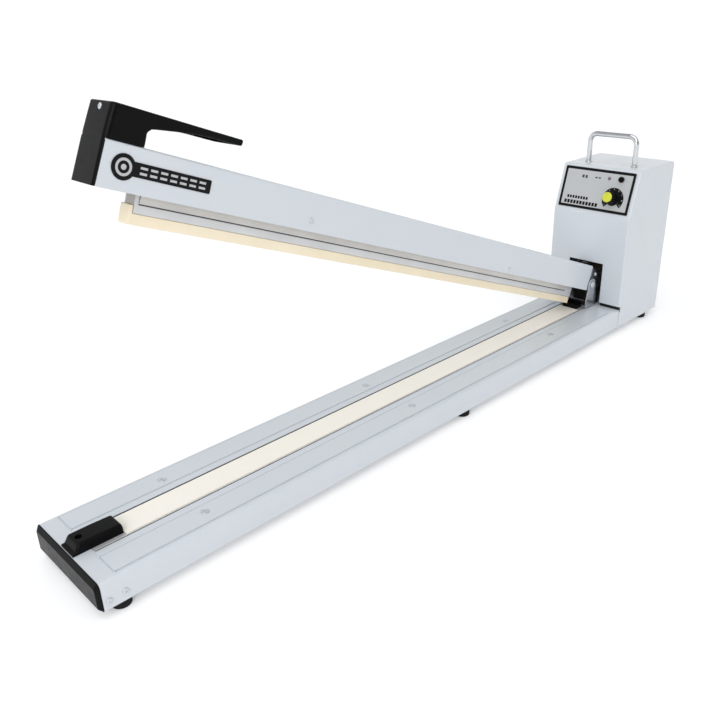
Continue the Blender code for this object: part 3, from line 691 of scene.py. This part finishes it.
def add_screw(name, node, mesh, at, turn, group=ON_BASE, body="base"):
    """Places one screw for a CAD node; turn takes +Z to the way its head faces."""
    place = group @ Matrix.Translation(Vector(at) * MM) @ turn
    dress(add_object(name, mesh.copy()), "zinc", place, body, [node], bevel=0.12, segments=2)


# --- base ---
def base_outline(step):
    """Section of the base sheet; step runs from 0 on the plain ends to 1 on the embossed part."""
    bend = (BASE_HALF - BASE_BEND, BASE_HEIGHT - BASE_BEND)
    outer = [(BASE_HALF, 0)] + arc(bend, BASE_BEND, 0, 90, 10)
    inner = [(BASE_HALF - BASE_SHEET, 0)] + arc(bend, BASE_BEND - BASE_SHEET, 0, 90, 10)
    tops = [(68.3, 0), (68.0, -CREASE), (66.4, -CREASE), (66.1, PANEL_STEP), (34.6, PANEL_STEP)]
    tops += [(34.3, STRIP_STEP - CREASE), (33.0, STRIP_STEP - CREASE), (32.7, STRIP_STEP)]
    tops += [(21.0, STRIP_STEP), (20.5, 0)]
    outer += [(y, BASE_HEIGHT + rise * step) for y, rise in tops]
    inner += [(y, BASE_HEIGHT - BASE_SHEET + rise * step) for y, rise in tops]
    return mirrored(outer) + list(reversed(mirrored(inner)))


def side_hole(at):
    """A tool for a screw hole through both sides of the base."""
    return rod("hole", "y", at, SCREW_HOLE, -BASE_HALF - 5, BASE_HALF + 5, 24)


def cut_dimple(channel, x, y):
    """A round pressed seat for a panel screw, with its hole."""
    top = BASE_HEIGHT + PANEL_STEP
    floor = top - DIMPLE_DEPTH
    wall = [(DIMPLE_RADIUS, top + 3), (DIMPLE_RADIUS, top + 0.05)]
    wall += [(DIMPLE_RADIUS - 0.3, top - 0.06), (5.6, floor + 0.08), (5.2, floor)]
    cut(
        channel,
        turned("dimple", "z", (x, y), wall, 40),
        rod("hole", "z", (x, y), 2.4, *THROUGH_TOP, 24),
    )


def make_base_channel():
    dip = -CREASE / PANEL_STEP
    edge = [(0, 0), (0.3, dip), (1.5, dip), (1.8, 1)]
    rise = [(EMBOSS_FRONT + x, step) for x, step in edge]
    fall = [(EMBOSS_REAR - x, step) for x, step in reversed(edge)]
    places = [(BASE_FRONT, 0)] + rise + fall + [(BASE_REAR, 0)]
    channel = loft("base_sheet", "x", [(x, base_outline(step)) for x, step in places])
    half = 11
    spring = (RETURN_SPRING_X - half, RETURN_SPRING_X + half)
    cut(
        channel,
        box("slot", (SLOT_FRONT, EMBOSS_REAR), (-SLOT_HALF, SLOT_HALF), THROUGH_TOP),
        box("spring_slot", spring, (-half, half), THROUGH_TOP),
    )
    for x, y in PANEL_SCREWS:
        cut_dimple(channel, x, y)
    for at in SIDE_SCREWS:
        cut(channel, side_hole(at))
    dress(channel, "paint", nodes=["base_channel"], smooth=22)


def make_front_end_cap():
    """A shallow dished cap: a chamfered rim round a flat face, with lugs inside the base."""
    centre = BASE_HEIGHT - BASE_BEND
    corner = 2.5
    half = BASE_HALF - 4.5
    face = [(half, 3)] + arc((half - corner, centre - corner), corner, 0, 90, 8)
    back = [(BASE_HALF, 0)] + arc((BASE_HALF - BASE_BEND, centre), BASE_BEND, 0, 90, 8)
    sections = [(0, mirrored(face)), (4.0, mirrored(back)), (BASE_FRONT - 0.3, mirrored(back))]
    cap = loft("end_cap", "x", sections)
    round_edges(cap.data, 0.7, 3, 25)
    for side in (-1, 1):
        lug = box("lug", (4, 17), sorted((side * 30, side * 72.9)), (4, 29))
        join(cap, cut(lug, side_hole(SIDE_SCREWS[0])))
    dress(cap, "black_plastic", nodes=["front_end_cap"], smooth=25)


def make_feet():
    """Moulded rubber feet, each with a soft lower rim and a recess for its screw."""
    rim = [(radius, -height) for radius, height in arc((10.0, 9.5), 1.5, 90, 0, 5)]
    profile = [(2.6, -8.0), (2.8, -11.0)] + rim
    profile += [(11.5, -2.0), (11.2, -1.0), (10.4, -0.5), (10.4, 0.3)]
    for end, x in FEET_X:
        for side, sign in SIDES:
            name = f"foot_{end}_{side}"
            foot = turned(name + "_rubber", "z", (x, sign * FEET_Y), profile, 48)
            dress(foot, "rubber", nodes=[name], smooth=40)


def make_base_screws():
    button = make_screw_mesh(4.7, 1.3, 6)
    seat = BASE_HEIGHT + PANEL_STEP - DIMPLE_DEPTH
    for number, at in enumerate(PANEL_SCREWS, 1):
        turn = Matrix.Rotation(math.radians(37 * number), 4, "Z")
        add_screw(f"top_screw_{number}", f"panel_screw_{number}", button, (*at, seat), turn)
    pan = make_screw_mesh(3.5, 1.7, 6)
    spots = [(x, z, side) for x, z in SIDE_SCREWS for side in (-1, 1)]
    for number, (x, z, side) in enumerate(spots, 1):
        facing = TO_NEAR if side < 0 else TO_FAR
        turn = facing @ Matrix.Rotation(math.radians(29 * number), 4, "Z")
        at = (x, side * (BASE_HALF + 0.1), z)
        add_screw(f"flange_screw_{number}", f"side_screw_{number}", pan, at, turn)


# --- sealing bar ---
def cloth_height(x, y):
    """Top of the cloth: flat, with a low ridge over the wire and faint slack ripples."""
    ridge = WIRE_RIDGE * soft_step(max(0.0, 1 - max(0.0, abs(y) - WIRE_HALF) / 1.5))
    slack = CLOTH_SLACK * math.sin(x / 23.0) * math.sin(x / 61.0 + y / 9.0)
    return CLOTH_TOP + ridge + slack


def make_cloth_strip():
    """One thin sheet over the bar, with its long edges turned down onto the metal."""
    low = BASE_HEIGHT + 0.05
    inset = CLOTH_HALF - 0.3
    across = [-inset + 2 * inset * i / 40 for i in range(41)]
    count = 230
    points = []
    for i in range(count + 1):
        x = SEAL_FRONT + (SEAL_REAR - SEAL_FRONT) * i / count
        points.append((x, -CLOTH_HALF, low))
        points += [(x, y, cloth_height(x, y)) for y in across]
        points.append((x, CLOTH_HALF, low))
    sheet = make_object("cloth_strip", points, quads(count + 1, len(across) + 2, closed=False))
    shape = bmesh.new()
    shape.from_mesh(sheet.data)
    if sum(face.normal.z for face in shape.faces) < 0:
        bmesh.ops.reverse_faces(shape, faces=shape.faces)
    shape.to_mesh(sheet.data)
    shape.free()
    shell = sheet.modifiers.new("thickness", "SOLIDIFY")
    shell.thickness = CLOTH_SHEET * MM
    shell.offset = -1
    dress(sheet, "cloth", nodes=["cloth_cover"], smooth=50)


def clamp_section(x, top, half=CLAMP_HALF):
    """Section of a moulded cover over the wire's clamp: flat below, round shoulders above."""
    low = BASE_HEIGHT + 0.3
    radius = min(CLAMP_ROUND, (top - low) * 0.6)
    return (x, mirrored([(half, low)] + arc((half - radius, top - radius), radius, 0, 90, 8)))


def make_clamp_cover(end, sections, cavity, roof, notch, *holes):
    """A moulded cover from its sections, hollow over the clamp and notched for the wire."""
    cover = loft(f"{end}_clamp_moulding", "x", sections)
    cut(
        cover,
        *holes,
        box("cavity", cavity, (-11, 11), (30, roof)),
        box("wire_notch", notch, (-4, 4), (30, 36.2)),
    )
    dress(cover, "black_plastic", nodes=[f"{end}_clamp_cover"], smooth=38)


def make_front_clamp_cover():
    """A low tongue at the front rises in a rounded step to the housing over the wire's end."""
    tops = [(BASE_FRONT + 0.4, 36.4), (BASE_FRONT + 0.9, 36.9), (9.0, 37.2)]
    foot_of_step, top_of_step = 9.4, 16.0
    low, high = 37.3, 46.0
    for i in range(11):
        share = i / 10
        x = foot_of_step + (top_of_step - foot_of_step) * share
        tops.append((x, low + (high - low) * math.sin(share * math.pi / 2)))
    tops += [(40.0, high), (62.0, 45.3), (64.0, 44.9)]
    sections = [clamp_section(x, top) for x, top in tops]
    sections += [clamp_section(64.9, 44.3, 14.0), clamp_section(65.3, 43.2, 13.5)]
    counterbore = rod("counterbore", "z", (20.5, 0), 4.0, 40, 50, 32)
    make_clamp_cover("front", sections, (42, 62), 42.6, (60, 70), counterbore)


def make_rear_clamp_cover():
    sections = [
        clamp_section(SEAL_REAR + 0.7, 42.2, 13.6),
        clamp_section(SEAL_REAR + 1.2, 43.0, 14.1),
        clamp_section(SEAL_REAR + 2.0, 43.2),
        clamp_section(998, 43.2),
        clamp_section(1000.5, 42.4, 14.0),
        clamp_section(1002.5, 40.2, 13.3),
    ]
    make_clamp_cover("rear", sections, (983, 1001), 41.4, (975, 985))


def make_bar_seals():
    """Painted shade: dark rubber strips in the narrow gaps between the sealing bar and the slot in
    the base, where only shade falls.
    """
    along = (SLOT_FRONT + 0.1, EMBOSS_REAR - 2.5)
    for name, side in SIDES:
        across = sorted((side * 20.4, side * (SLOT_HALF + 0.5)))
        # each dark strip stands in for the shade inside its gap: painted shade
        slot_shade = box(f"bar_gap_shade_{name}", along, across, (31.0, 33.6))
        dress(slot_shade, "rubber", smooth=30)


def make_wire_spring():
    start, end = WIRE_SPRING_X
    path = coil_path("x", (0, WIRE_SPRING_Z), 2.4, start, end, 5)
    spring = swept("wire_spring", path, 0.45, 8)
    dress(spring, "zinc", smooth=60)
    fixed, pulled = ((x, 0, WIRE_SPRING_Z) for x in (end, start))
    follow(spring, fixed, pulled, ["tension_spring"])


def make_bar_parts():
    make_bar_seals()
    refined("sealing_bar", "aluminium", 0.35)
    refined("heating_wire", "nichrome", 0.05, 1)
    refined("front_terminal", "brass", 0.2)
    refined("rear_terminal", "brass", 0.2, body="wire_tensioner")
    make_cloth_strip()
    make_front_clamp_cover()
    make_rear_clamp_cover()
    make_wire_spring()


# --- hinge and what shows inside the box ---
def make_return_spring():
    """An extension spring with a hook round the anchor below and one round the arm's pin."""
    x = RETURN_SPRING_X
    low, high = RETURN_SPRING_Z
    pin = (ON_BASE.inverted() @ ON_ARM @ (Vector((x, 0, high)) * MM)) / MM
    low_hook = [(x + a, 0, low + b) for a, b in arc((0, 0), 3.2, -200, 60, 14)]
    high_hook = [(pin.x + a, 0, pin.z + b) for a, b in arc((0, 0), 4.2, -120, 170, 14)]
    coil = coil_path("z", (x, 0), 7.6, 20.0, 59.0, 13, 24)
    spring = swept("arm_spring", low_hook + coil + high_hook, 1.1, 10)
    dress(spring, "zinc", smooth=60)
    follow(spring, (x, 0, low), pin, ["return_spring"])


def make_pivot_pin():
    dome = [(6.0 * a, -29.4 - 1.8 * b) for a, b in arc((0, 0), 1, 80, 0, 4)]
    profile = dome + [(6.0, -28.4), (4.0, -28.4), (4.0, 30.4), (3.6, 31.0), (3.0, 31.2)]
    pin = turned("pivot_pin", "y", PIVOT_AT, profile, 40)
    dress(pin, "zinc", nodes=["hinge_pin"], smooth=40)


def make_hinge_parts():
    refined("hinge_bracket", "steel", 0.35)
    refined("arm_stop", "rubber", 0.8, 3)
    refined("bottom_plate", "zinc", 0.2)
    refined("microswitch", "black_plastic", 0.3)
    refined("switch_lever", "zinc", 0.15, body="switch_lever")
    refined("transformer_core", "core_steel", 0.5)
    refined("transformer_coil", "winding", 0.8)
    refined("circuit_board", "board", 0.25)
    refined("potentiometer", "zinc", 0.25, place=ON_PANEL)
    make_pivot_pin()
    make_return_spring()


# --- control box ---
def make_carry_handle():
    """A bent rod with a ferrule at each foot."""
    inside_box = 270
    shoulder = CARRY_TOP - CARRY_ROD - CARRY_BEND
    inner = CARRY_HALF_SPAN - CARRY_BEND
    path = [(-CARRY_HALF_SPAN, inside_box), (-CARRY_HALF_SPAN, shoulder - 1)]
    path += arc((-inner, shoulder), CARRY_BEND, 180, 90, 18)
    path += arc((inner, shoulder), CARRY_BEND, 90, 0, 18)
    path += [(CARRY_HALF_SPAN, shoulder - 1), (CARRY_HALF_SPAN, inside_box)]
    rail = swept("carry_rod", [(CARRY_X, y, z) for y, z in path], CARRY_ROD, 32)
    dress(rail, "chrome", nodes=["carry_handle"], smooth=50)
    low = BOX_TOP + 0.1
    profile = [(6.6, low), (6.6, low + 0.9), (6.1, low + 1.5), (5.0, low + 1.8)]
    for name, side in SIDES:
        at = (CARRY_X, side * CARRY_HALF_SPAN)
        ferrule = turned(f"carry_ferrule_{name}", "z", at, profile, 40)
        cut(ferrule, rod("bore", "z", at, CARRY_ROD + 0.05, inside_box, 290, 40))
        dress(ferrule, "chrome", smooth=30)


def make_cord_gland():
    """A moulded bush for the power cord: flange, waist in the cover and a ribbed mouth."""
    profile = [(10.5, 1159.0), (10.5, 1166.2), (7.8, 1166.2), (7.8, 1168.0)]
    profile += [(10.0, 1168.0), (10.5, 1168.5), (10.5, 1171.0), (10.1, 1171.5)]
    profile += [(8.4, 1171.7), (8.4, 1173.0), (9.0, 1173.4), (8.0, 1176.0)]
    gland = turned("cord_bush", "x", GLAND_AT, profile, 48)
    cut(gland, rod("bore", "x", GLAND_AT, 3.8, 1150, 1180, 32))
    dress(gland, "black_plastic", nodes=["cord_gland"], bevel=0.2, smooth=35)


def make_box_parts():
    gap = box("gap", (1020, 1031), (-90, 90), (30, BOX_GAP_TOP))
    refined("control_box", "paint", 0.25, cuts=[gap])
    # Painted shade: dark rubber blocks fill the gap under the box's front wall, where only shade
    # falls.
    for name, side in SIDES:
        across = sorted((side * 36, side * 73))
        up = (BASE_HEIGHT + 0.2, BOX_GAP_TOP + 0.5)
        dress(box(f"box_gap_shade_{name}", BOX_WALL_X, across, up), "rubber", smooth=30)
    refined("rear_cover", "paint", 0.35)
    make_carry_handle()
    make_cord_gland()
    pan = make_screw_mesh(3.5, 1.5, 8)
    for name, side in SIDES:
        turn = TO_REAR @ Matrix.Rotation(0.4 * side, 4, "Z")
        add_screw(f"cover_screw_{name}", f"rear_screw_{name}", pan, (1168.1, side * 68, 160), turn)


# --- control panel ---
def print_mark(piece, look):
    dress(piece, look, ON_PANEL, smooth=30)


def make_bars(name, bars, low, high):
    """Separate small printed bars as one mesh: bars lists (x, y, width, height)."""
    points = []
    faces = []
    for x, y, width, height in bars:
        faces += solid_faces(2, 4, len(points))
        outline = [(x, y), (x + width, y), (x + width, y + height), (x, y + height)]
        points += [(a, b, z) for z in (low, high) for a, b in outline]
    return make_object(name, points, faces)


def make_panel_film():
    film = prism("panel_film", "z", rounded_rectangle(-69, 69, 8, 81, 2), 0.3, PANEL_FILM)
    for at, radius in ((KNOB_AT, 5.0), (FUSE_AT, 4.5), (LAMP_AT, 2.6)):
        cut(film, rod("hole", "z", at, radius, -5, 5, 40))
    dress(film, "label_silver", ON_PANEL, nodes=["control_label"], smooth=30)
    outer = rounded_rectangle(-68.8, 68.8, 8.2, 80.8, 2)
    inner = rounded_rectangle(-64.0, 64.0, 13.0, 76.0, 0.8)
    border = ring_plate("panel_border", outer, inner, PANEL_FILM, PANEL_FILM + INK)
    print_mark(border, "label_black")


def make_digit_mesh(digit):
    """A flat printed digit, centred on its own origin."""
    curve = bpy.data.curves.new("number", "FONT")
    curve.body = digit
    curve.size = 4.0 * MM
    curve.align_x = "CENTER"
    curve.align_y = "CENTER"
    curve.extrude = INK * MM / 2
    text = add_object("number", curve)
    mesh = evaluated_mesh(text)
    bpy.data.objects.remove(text)
    return mesh


def make_dial():
    """The black scale round the knob, open at the bottom, with pale numbers from 1 to 9."""
    outline = arc(DIAL_AT, 20.2, DIAL_START, DIAL_END, 60)
    outline += arc(DIAL_AT, 12.2, DIAL_END, DIAL_START, 60)
    dial = prism("dial_scale", "z", outline, PANEL_FILM, PANEL_FILM + INK)
    print_mark(dial, "label_black")
    places = arc(DIAL_AT, 17.6, DIAL_END - 10, DIAL_START + 10, 8)
    for number, (across, up) in enumerate(places, 1):
        mesh = make_digit_mesh(str(number))
        mesh.transform(Matrix.Translation(Vector((across, up, PANEL_FILM + INK * 1.5)) * MM))
        print_mark(add_object(f"dial_number_{number}", mesh), "label_silver")


def make_panel_marks():
    """Plain dashes where a maker would print words, and small symbols beside the lamp."""
    small = [(-54 + 5.4 * i, 24.6, 3.9, 5.0) for i in range(8)]
    large = [(-58 + 6.2 * i, 15.0, 4.7, 6.2) for i in range(11)]
    words = make_bars("panel_dashes", small + large, PANEL_FILM, PANEL_FILM + INK)
    print_mark(words, "label_black")
    marks = [(-33, 62.6, 4.4, 5.2), (-26.6, 62.6, 4.4, 5.2)]
    marks += [(-7, 64.4, 4.5, 2.4), (-0.5, 64.4, 4.5, 2.4)]
    symbols = make_bars("panel_symbols", marks, PANEL_FILM, PANEL_FILM + INK)
    print_mark(symbols, "core_steel")


def make_fuse_cap():
    seat = PANEL_FILM + 0.1
    profile = [(4.0, -30), (4.4, -28), (4.4, seat), (4.9, seat), (4.9, 4.4)]
    holder = turned("fuse_cap", "z", FUSE_AT, profile + arc((4.1, 4.6), 0.8, 0, 90, 4), 40)
    x, y = FUSE_AT
    cut(holder, box("coin_slot", (x - 3.2, x + 3.2), (y - 0.5, y + 0.5), (4.6, 8)))
    dress(holder, "black_plastic", ON_PANEL, nodes=["fuse_holder"], smooth=30)


def make_lamp():
    seat = PANEL_FILM + 0.1
    dome = [(3.0 * a, 1.6 + 1.4 * b) for a, b in arc((0, 0), 1, 0, 84, 8)]
    lamp = turned("lamp_lens", "z", LAMP_AT, [(2.4, -14), (2.4, seat), (3.0, seat)] + dome, 32)
    dress(lamp, "lens", ON_PANEL, nodes=["indicator_lamp"], smooth=40)


def fluted(radius, depth):
    """A round outline with smooth ribs, eight points to each."""
    count = KNOB_RIBS * 8
    points = []
    for i in range(count):
        angle = 2 * math.pi * i / count
        wave = math.cos(angle * KNOB_RIBS)
        out = radius + depth * math.copysign(abs(wave) ** 0.6, wave)
        points.append((out * math.cos(angle), out * math.sin(angle)))
    return points


def make_knob():
    """Skirt, ribbed tapering grip with a soft upper rim, shaft, and the coloured cap on top."""
    ribs = [(4.6, 11.0, 0.45), (20.6, 9.75, 0.45), (21.6, 9.5, 0.4)]
    ribs += [(22.0, 9.2, 0.3), (KNOB_TOP, 8.9, 0.15)]
    knob = loft("knob_grip", "z", [(z, fluted(radius, depth)) for z, radius, depth in ribs])
    skirt = [(12.6, 1.6), (13.0, 1.9), (13.0, 2.8), (12.6, 3.3), (11.2, 4.4), (10.6, 5.0)]
    join(
        knob,
        turned("skirt", "z", (0, 0), skirt, 64),
        rod("shaft", "z", (0, 0), 3.1, -13.0, 4.5, 32),
    )
    dress(knob, "black_plastic", ON_KNOB, "knob", ["timer_knob"], smooth=40)
    low = KNOB_TOP + 0.05
    crown = [(8.8, 0.0), (8.8, 1.0), (8.5, 1.6), (7.6, 2.1), (4.0, 2.5), (0.4, 2.6)]
    cap = turned("knob_crown", "z", (0, 0), [(radius, low + z) for radius, z in crown], 56)
    cut(cap, box("pointer", (-0.6, 0.6), (2, 10), (low + 1.7, low + 4)))
    dress(cap, "yellow", ON_KNOB, "knob", ["knob_cap"], smooth=40)


def make_panel_parts():
    make_panel_film()
    make_dial()
    make_panel_marks()
    make_fuse_cap()
    make_lamp()
    make_knob()


# --- arm, drawn closed ---
def make_arm_channel():
    bend = (ARM_HALF - ARM_BEND, ARM_TOP - ARM_BEND)
    outer = mirrored([(ARM_HALF, ARM_BOTTOM)] + arc(bend, ARM_BEND, 0, 90, 10))
    inside = [(ARM_HALF - ARM_SHEET, ARM_BOTTOM)] + arc(bend, ARM_BEND - ARM_SHEET, 0, 90, 10)
    section = outer + list(reversed(mirrored(inside)))
    channel = prism("arm_sheet", "x", section, ARM_FRONT, ARM_REAR)
    low, high = ARM_BOTTOM - 1, ARM_TOP + 1
    lean = [(ARM_FRONT, low), (ARM_FRONT + ARM_LEAN, high)]
    ahead = [(ARM_FRONT - 5, high), (ARM_FRONT - 5, low)]
    cut(channel, prism("lean", "y", lean + ahead, -30, 30))
    for at in ARM_SCREWS:
        cut(channel, rod("hole", "y", at, SCREW_HOLE, -30, 0, 24))
    dress(channel, "paint", ON_ARM, "arm", ["arm_channel"], smooth=25)


def make_arm_screws():
    pan = make_screw_mesh(3.4, 1.4, 5)
    for name, (x, z) in zip(("front", "rear"), ARM_SCREWS):
        turn = TO_NEAR @ Matrix.Rotation(x, 4, "Z")
        at = (x, -ARM_HALF - 0.1, z)
        add_screw(f"rail_screw_{name}", f"arm_screw_{name}", pan, at, turn, ON_ARM, "arm")
    head = make_screw_mesh(3.4, 1.6, 12)
    at = (40.3, *HANDLE_SCREW_AT)
    add_screw("grip_screw", "handle_screw", head, at, TO_FRONT, ON_ARM, "arm")


def nose_outline(front, back, half, radius):
    """Seen from above: a blunt front end with two round corners and a flat back."""
    centre = front + radius
    side = half - radius
    reach = 90.0
    if back < centre:
        reach = math.degrees(math.acos((centre - back) / radius))
    near = arc((centre, -side), radius, 180 + reach, 180, 12)
    far = arc((centre, side), radius, 180, 180 - reach, 12)
    return [(back, near[0][1])] + near + far + [(back, far[-1][1])]


def make_handle_body():
    """Block and grip as one moulding, from its side view: round front corners, soft edges."""
    floor = ARM_TOP + 1.1
    side_view = [(36.5, floor), (39.6, 144.4), (60, 144.45), (82, HANDLE_TOP), (133, 144.6)]
    side_view += [(GRIP_REAR, 144.85), (GRIP_REAR - 0.6, 138.2), (172, 137.8), (150, 137.5)]
    side_view += [(135, 136.8), (110, 133.6), (88, 130.3), (83, 129.2)]
    side_view += [(HANDLE_BLOCK_REAR, 125.4), (HANDLE_BLOCK_REAR, floor)]
    body = prism("handle_body", "y", side_view, -HANDLE_HALF, HANDLE_HALF)

    def at_front(edge):
        a, b = (v.co / MM for v in edge.verts)
        return abs(a.y - b.y) < 0.1 and max(a.x, b.x) < 40 and abs(a.z - b.z) > 20

    round_edges(body.data, 6.0, 9, 30, at_front)
    round_edges(body.data, 2.1, 5, 38)
    inner = HANDLE_HALF - HANDLE_WALL
    hollow = (96, GRIP_REAR - 5), (-inner, inner), (120, HANDLE_TOP - HANDLE_WALL)
    return cut(body, box("hollow", *hollow))


def make_arm_handle():
    """Nose in front of the arm, a shadow groove, and the block with its grip above."""
    back = ARM_FRONT - 0.3
    shift = ARM_LEAN - 0.3
    low = (ARM_BOTTOM, nose_outline(NOSE_FRONT, back, 25.2, 6.0))
    high = (ARM_TOP - 1.3, nose_outline(NOSE_FRONT + shift, back + shift, 25.0, 6.0))
    nose = loft("grip_moulding", "z", [low, high])
    round_edges(nose.data, 0.5, 2, 50)
    neck = nose_outline(NECK_FRONT, HANDLE_BLOCK_REAR - 1, 24.4, 5.7)
    join(
        nose,
        box("plug", (35.8, 58), (-22.8, 22.8), (66.6, 80)),
        box("upper_plug", (37.6, 58), (-22.8, 22.8), (75, 109)),
        prism("neck", "z", neck, ARM_TOP + 0.1, ARM_TOP + 3),
        prism("neck_core", "z", nose_outline(NECK_FRONT, 38.4, 24.4, 5.7), 105, 113),
        make_handle_body(),
    )
    cut(
        nose,
        rod("recess", "x", HANDLE_SCREW_AT, 4.0, 30, 40.5, 32),
        rod("hole", "x", HANDLE_SCREW_AT, 2.0, 40, 56, 24),
    )
    dress(nose, "black_plastic", ON_ARM, "arm", ["arm_handle"], smooth=35)


def make_arm_label():
    """A black badge that runs into a strip, with a plain ring and pale bars printed on it."""
    face = -ARM_HALF - 0.7
    badge = arc(BADGE_AT, 12.6, 34.5, 326.5, 64)
    strip = arc((157.5, 83.7), 1.5, -90, 0, 5) + arc((157.5, 94.8), 1.5, 0, 90, 5)
    plate = prism("arm_badge", "y", badge + strip, face, face + 0.6)
    dress(plate, "label_black", ON_ARM, "arm", ["arm_label"], 0.12, 2, 30)
    bars = [(BADGE_BARS_X + 11.2 * i, z, 7.8, 2.3) for z in (85.4, 90.7) for i in range(7)]
    on_badge = ON_ARM @ Matrix.Translation((0, face * MM, 0)) @ TO_NEAR
    for mark in (
        ring_plate("badge_ring", circle(BADGE_AT, 8.6, 64), circle(BADGE_AT, 6.0, 64), 0, INK),
        rod("badge_dot", "z", BADGE_AT, 2.8, 0, INK, 40),
        make_bars("badge_bars", bars, 0, INK),
    ):
        dress(mark, "label_silver", on_badge, "arm", smooth=30)


def make_presser_spring(name, x):
    low, high = 50.0, 71.2
    spring = swept(f"rail_spring_{name}", coil_path("z", (x, 0), 5.0, low, high, 5), 0.6, 8)
    dress(spring, "zinc", ON_ARM, "arm", smooth=60)
    node = f"presser_spring_{name}"
    follow(spring, (x, 0, high), (x, 0, low), [node], ON_ARM)


def make_presser_parts():
    refined("presser_rail", "stainless", 0.3, place=ON_ARM, body="arm")
    refined("arm_bracket", "steel", 0.35, place=ON_ARM, body="arm")
    refined("presser_bar", "aluminium", 0.3, place=ON_ARM, body="presser")
    refined("silicone_strip", "silicone", 0.7, 4, place=ON_ARM, body="presser")
    end_plate = box("presser_end_plate", (86.6, 87.6), (-8.3, 8.3), (49.5, 66.3))
    dress(end_plate, "nichrome", ON_ARM, "presser", bevel=0.2, smooth=30)
    # Painted shade: thin dark strips along the rail's lower lip stand in for the shadow gap between
    # rail and presser bar.
    for name, side in SIDES:
        across = sorted((side * 10.8, side * 12.2))
        rail_shade = box(f"rail_gap_shade_{name}", (91.0, 945.0), across, (56.4, 57.7))
        dress(rail_shade, "core_steel", ON_ARM, "arm", smooth=30)
    head = [(3.4, -22.5), (3.4, -23.9), (2.6, -24.8), (0.8, -25.2)]
    dress(turned("bracket_rivet", "y", RIVET_AT, head, 32), "zinc", ON_ARM, "arm", smooth=50)
    for name, x in zip(("front", "rear"), STUDS_X):
        make_presser_spring(name, x)


# --- stage ---
def make_floor():
    """A pale level floor, wide enough to fill the picture."""
    ground = cad_bounds[0].z / MM - 0.2
    lines = [(i / 6 - 1) * FLOOR_HALF for i in range(13)]
    points = [(x, y, ground) for y in lines for x in lines]
    floor = make_object("floor", points, quads(13, 13, closed=False))
    look = Look("floor_paper", (0.83, 0.832, 0.835), 0.8, Specular_IOR_Level=0.1)
    look.shade(Emission_Color=(1.0, 1.0, 1.0, 1.0), Emission_Strength=FLOOR_GLOW)
    look.tint(look.noise(3, 2), (0.85, 0.851, 0.853))
    look.rough(look.noise(40, 3), 0.7, 0.85)
    floor.data.materials.append(look.bump(look.noise(600, 2), 0.03, 0.2).material)


def aim(holder, way):
    holder.rotation_euler = way.to_track_quat("-Z", "Y").to_euler()


def add_light(name, at, size, power):
    """A rectangular lamp that faces the machine."""
    lamp = bpy.data.lights.new(name, "AREA")
    lamp.shape = "RECTANGLE"
    lamp.size, lamp.size_y = size
    lamp.energy = power
    holder = add_object(name, lamp)
    holder.location = at
    aim(holder, Vector((0, 0, 0.15)) - Vector(at))


def make_sky():
    """A plain white backdrop; its light is less from overhead and least from behind the eye."""
    world = bpy.data.worlds.new("studio")
    world.use_nodes = True
    tree = world.node_tree
    direction = tree.nodes.new("ShaderNodeTexCoord").outputs["Generated"]
    upward = add_node(tree, "SeparateXYZ", Vector=direction).outputs["Z"]
    ramp = add_node(tree, "ValToRGB", Fac=upward)
    low, high = ramp.color_ramp.elements
    low.position, high.position = 0.05, 0.9
    low.color = (1.0, 1.0, 1.0, 1.0)
    high.color = (0.40, 0.415, 0.43, 1.0)
    away = tree.nodes.new("ShaderNodeVectorMath")
    away.operation = "DOT_PRODUCT"
    away.inputs[1].default_value = (0.68, 0.73, 0.0)
    tree.links.new(direction, away.inputs[0])
    limits = {"From_Min": -0.8, "From_Max": 0.1, "To_Min": 0.3, "To_Max": BACKDROP}
    strength = add_node(tree, "MapRange", Value=away.outputs["Value"], **limits)
    light = tree.nodes["Background"]
    feed(tree, light, Color=ramp.outputs["Color"], Strength=strength.outputs["Result"])
    seen = add_node(tree, "Background", Color=(1.0, 1.0, 1.0, 1.0), Strength=BACKDROP)
    either = tree.nodes.new("ShaderNodeMixShader")
    by_eye = tree.nodes.new("ShaderNodeLightPath").outputs["Is Camera Ray"]
    for socket, source in enumerate((by_eye, light.outputs[0], seen.outputs[0])):
        tree.links.new(source, either.inputs[socket])
    feed(tree, tree.nodes["World Output"], Surface=either.outputs[0])
    bpy.context.scene.world = world


def make_lights():
    make_sky()
    bpy.context.scene.view_settings.view_transform = "Standard"
    sun = bpy.data.lights.new("ceiling", "SUN")
    sun.energy = 1.85
    sun.angle = math.radians(80)
    aim(add_object("ceiling", sun), Vector((0.4, 0.3, -0.86)))
    add_light("key", (-2.5, -1.6, 1.4), (0.8, 0.8), 18)
    add_light("corner_strip", (-2.4, -0.9, 0.4), (0.2, 0.9), 4)


def make_camera():
    """The eye stands before the open arm's front end, a little above it, and looks down."""
    yaw, pitch, roll = (math.radians(a) for a in (47.2276, -24.3671, -2.0807))
    ahead = (math.cos(yaw) * math.cos(pitch), math.sin(yaw) * math.cos(pitch), math.sin(pitch))
    forward = Vector(ahead)
    level = forward.cross(Vector((0, 0, 1))).normalized()
    upright = level.cross(forward)
    right = level * math.cos(roll) + upright * math.sin(roll)
    up = upright * math.cos(roll) - level * math.sin(roll)
    data = bpy.data.cameras.new("camera")
    data.lens = 39.01
    data.sensor_width = 36.0
    eye = add_object("camera", data)
    place = Matrix((right, up, -forward)).transposed().to_4x4()
    place.translation = (-0.80454, -0.70564, 0.56734)
    eye.matrix_world = place
    bpy.context.scene.camera = eye


# --- the whole machine ---
make_camera()
make_base_channel()
make_front_end_cap()
make_feet()
make_base_screws()
make_bar_parts()
make_hinge_parts()
make_box_parts()
make_panel_parts()
make_arm_channel()
make_arm_screws()
make_arm_handle()
make_arm_label()
make_presser_parts()
make_floor()
make_lights()
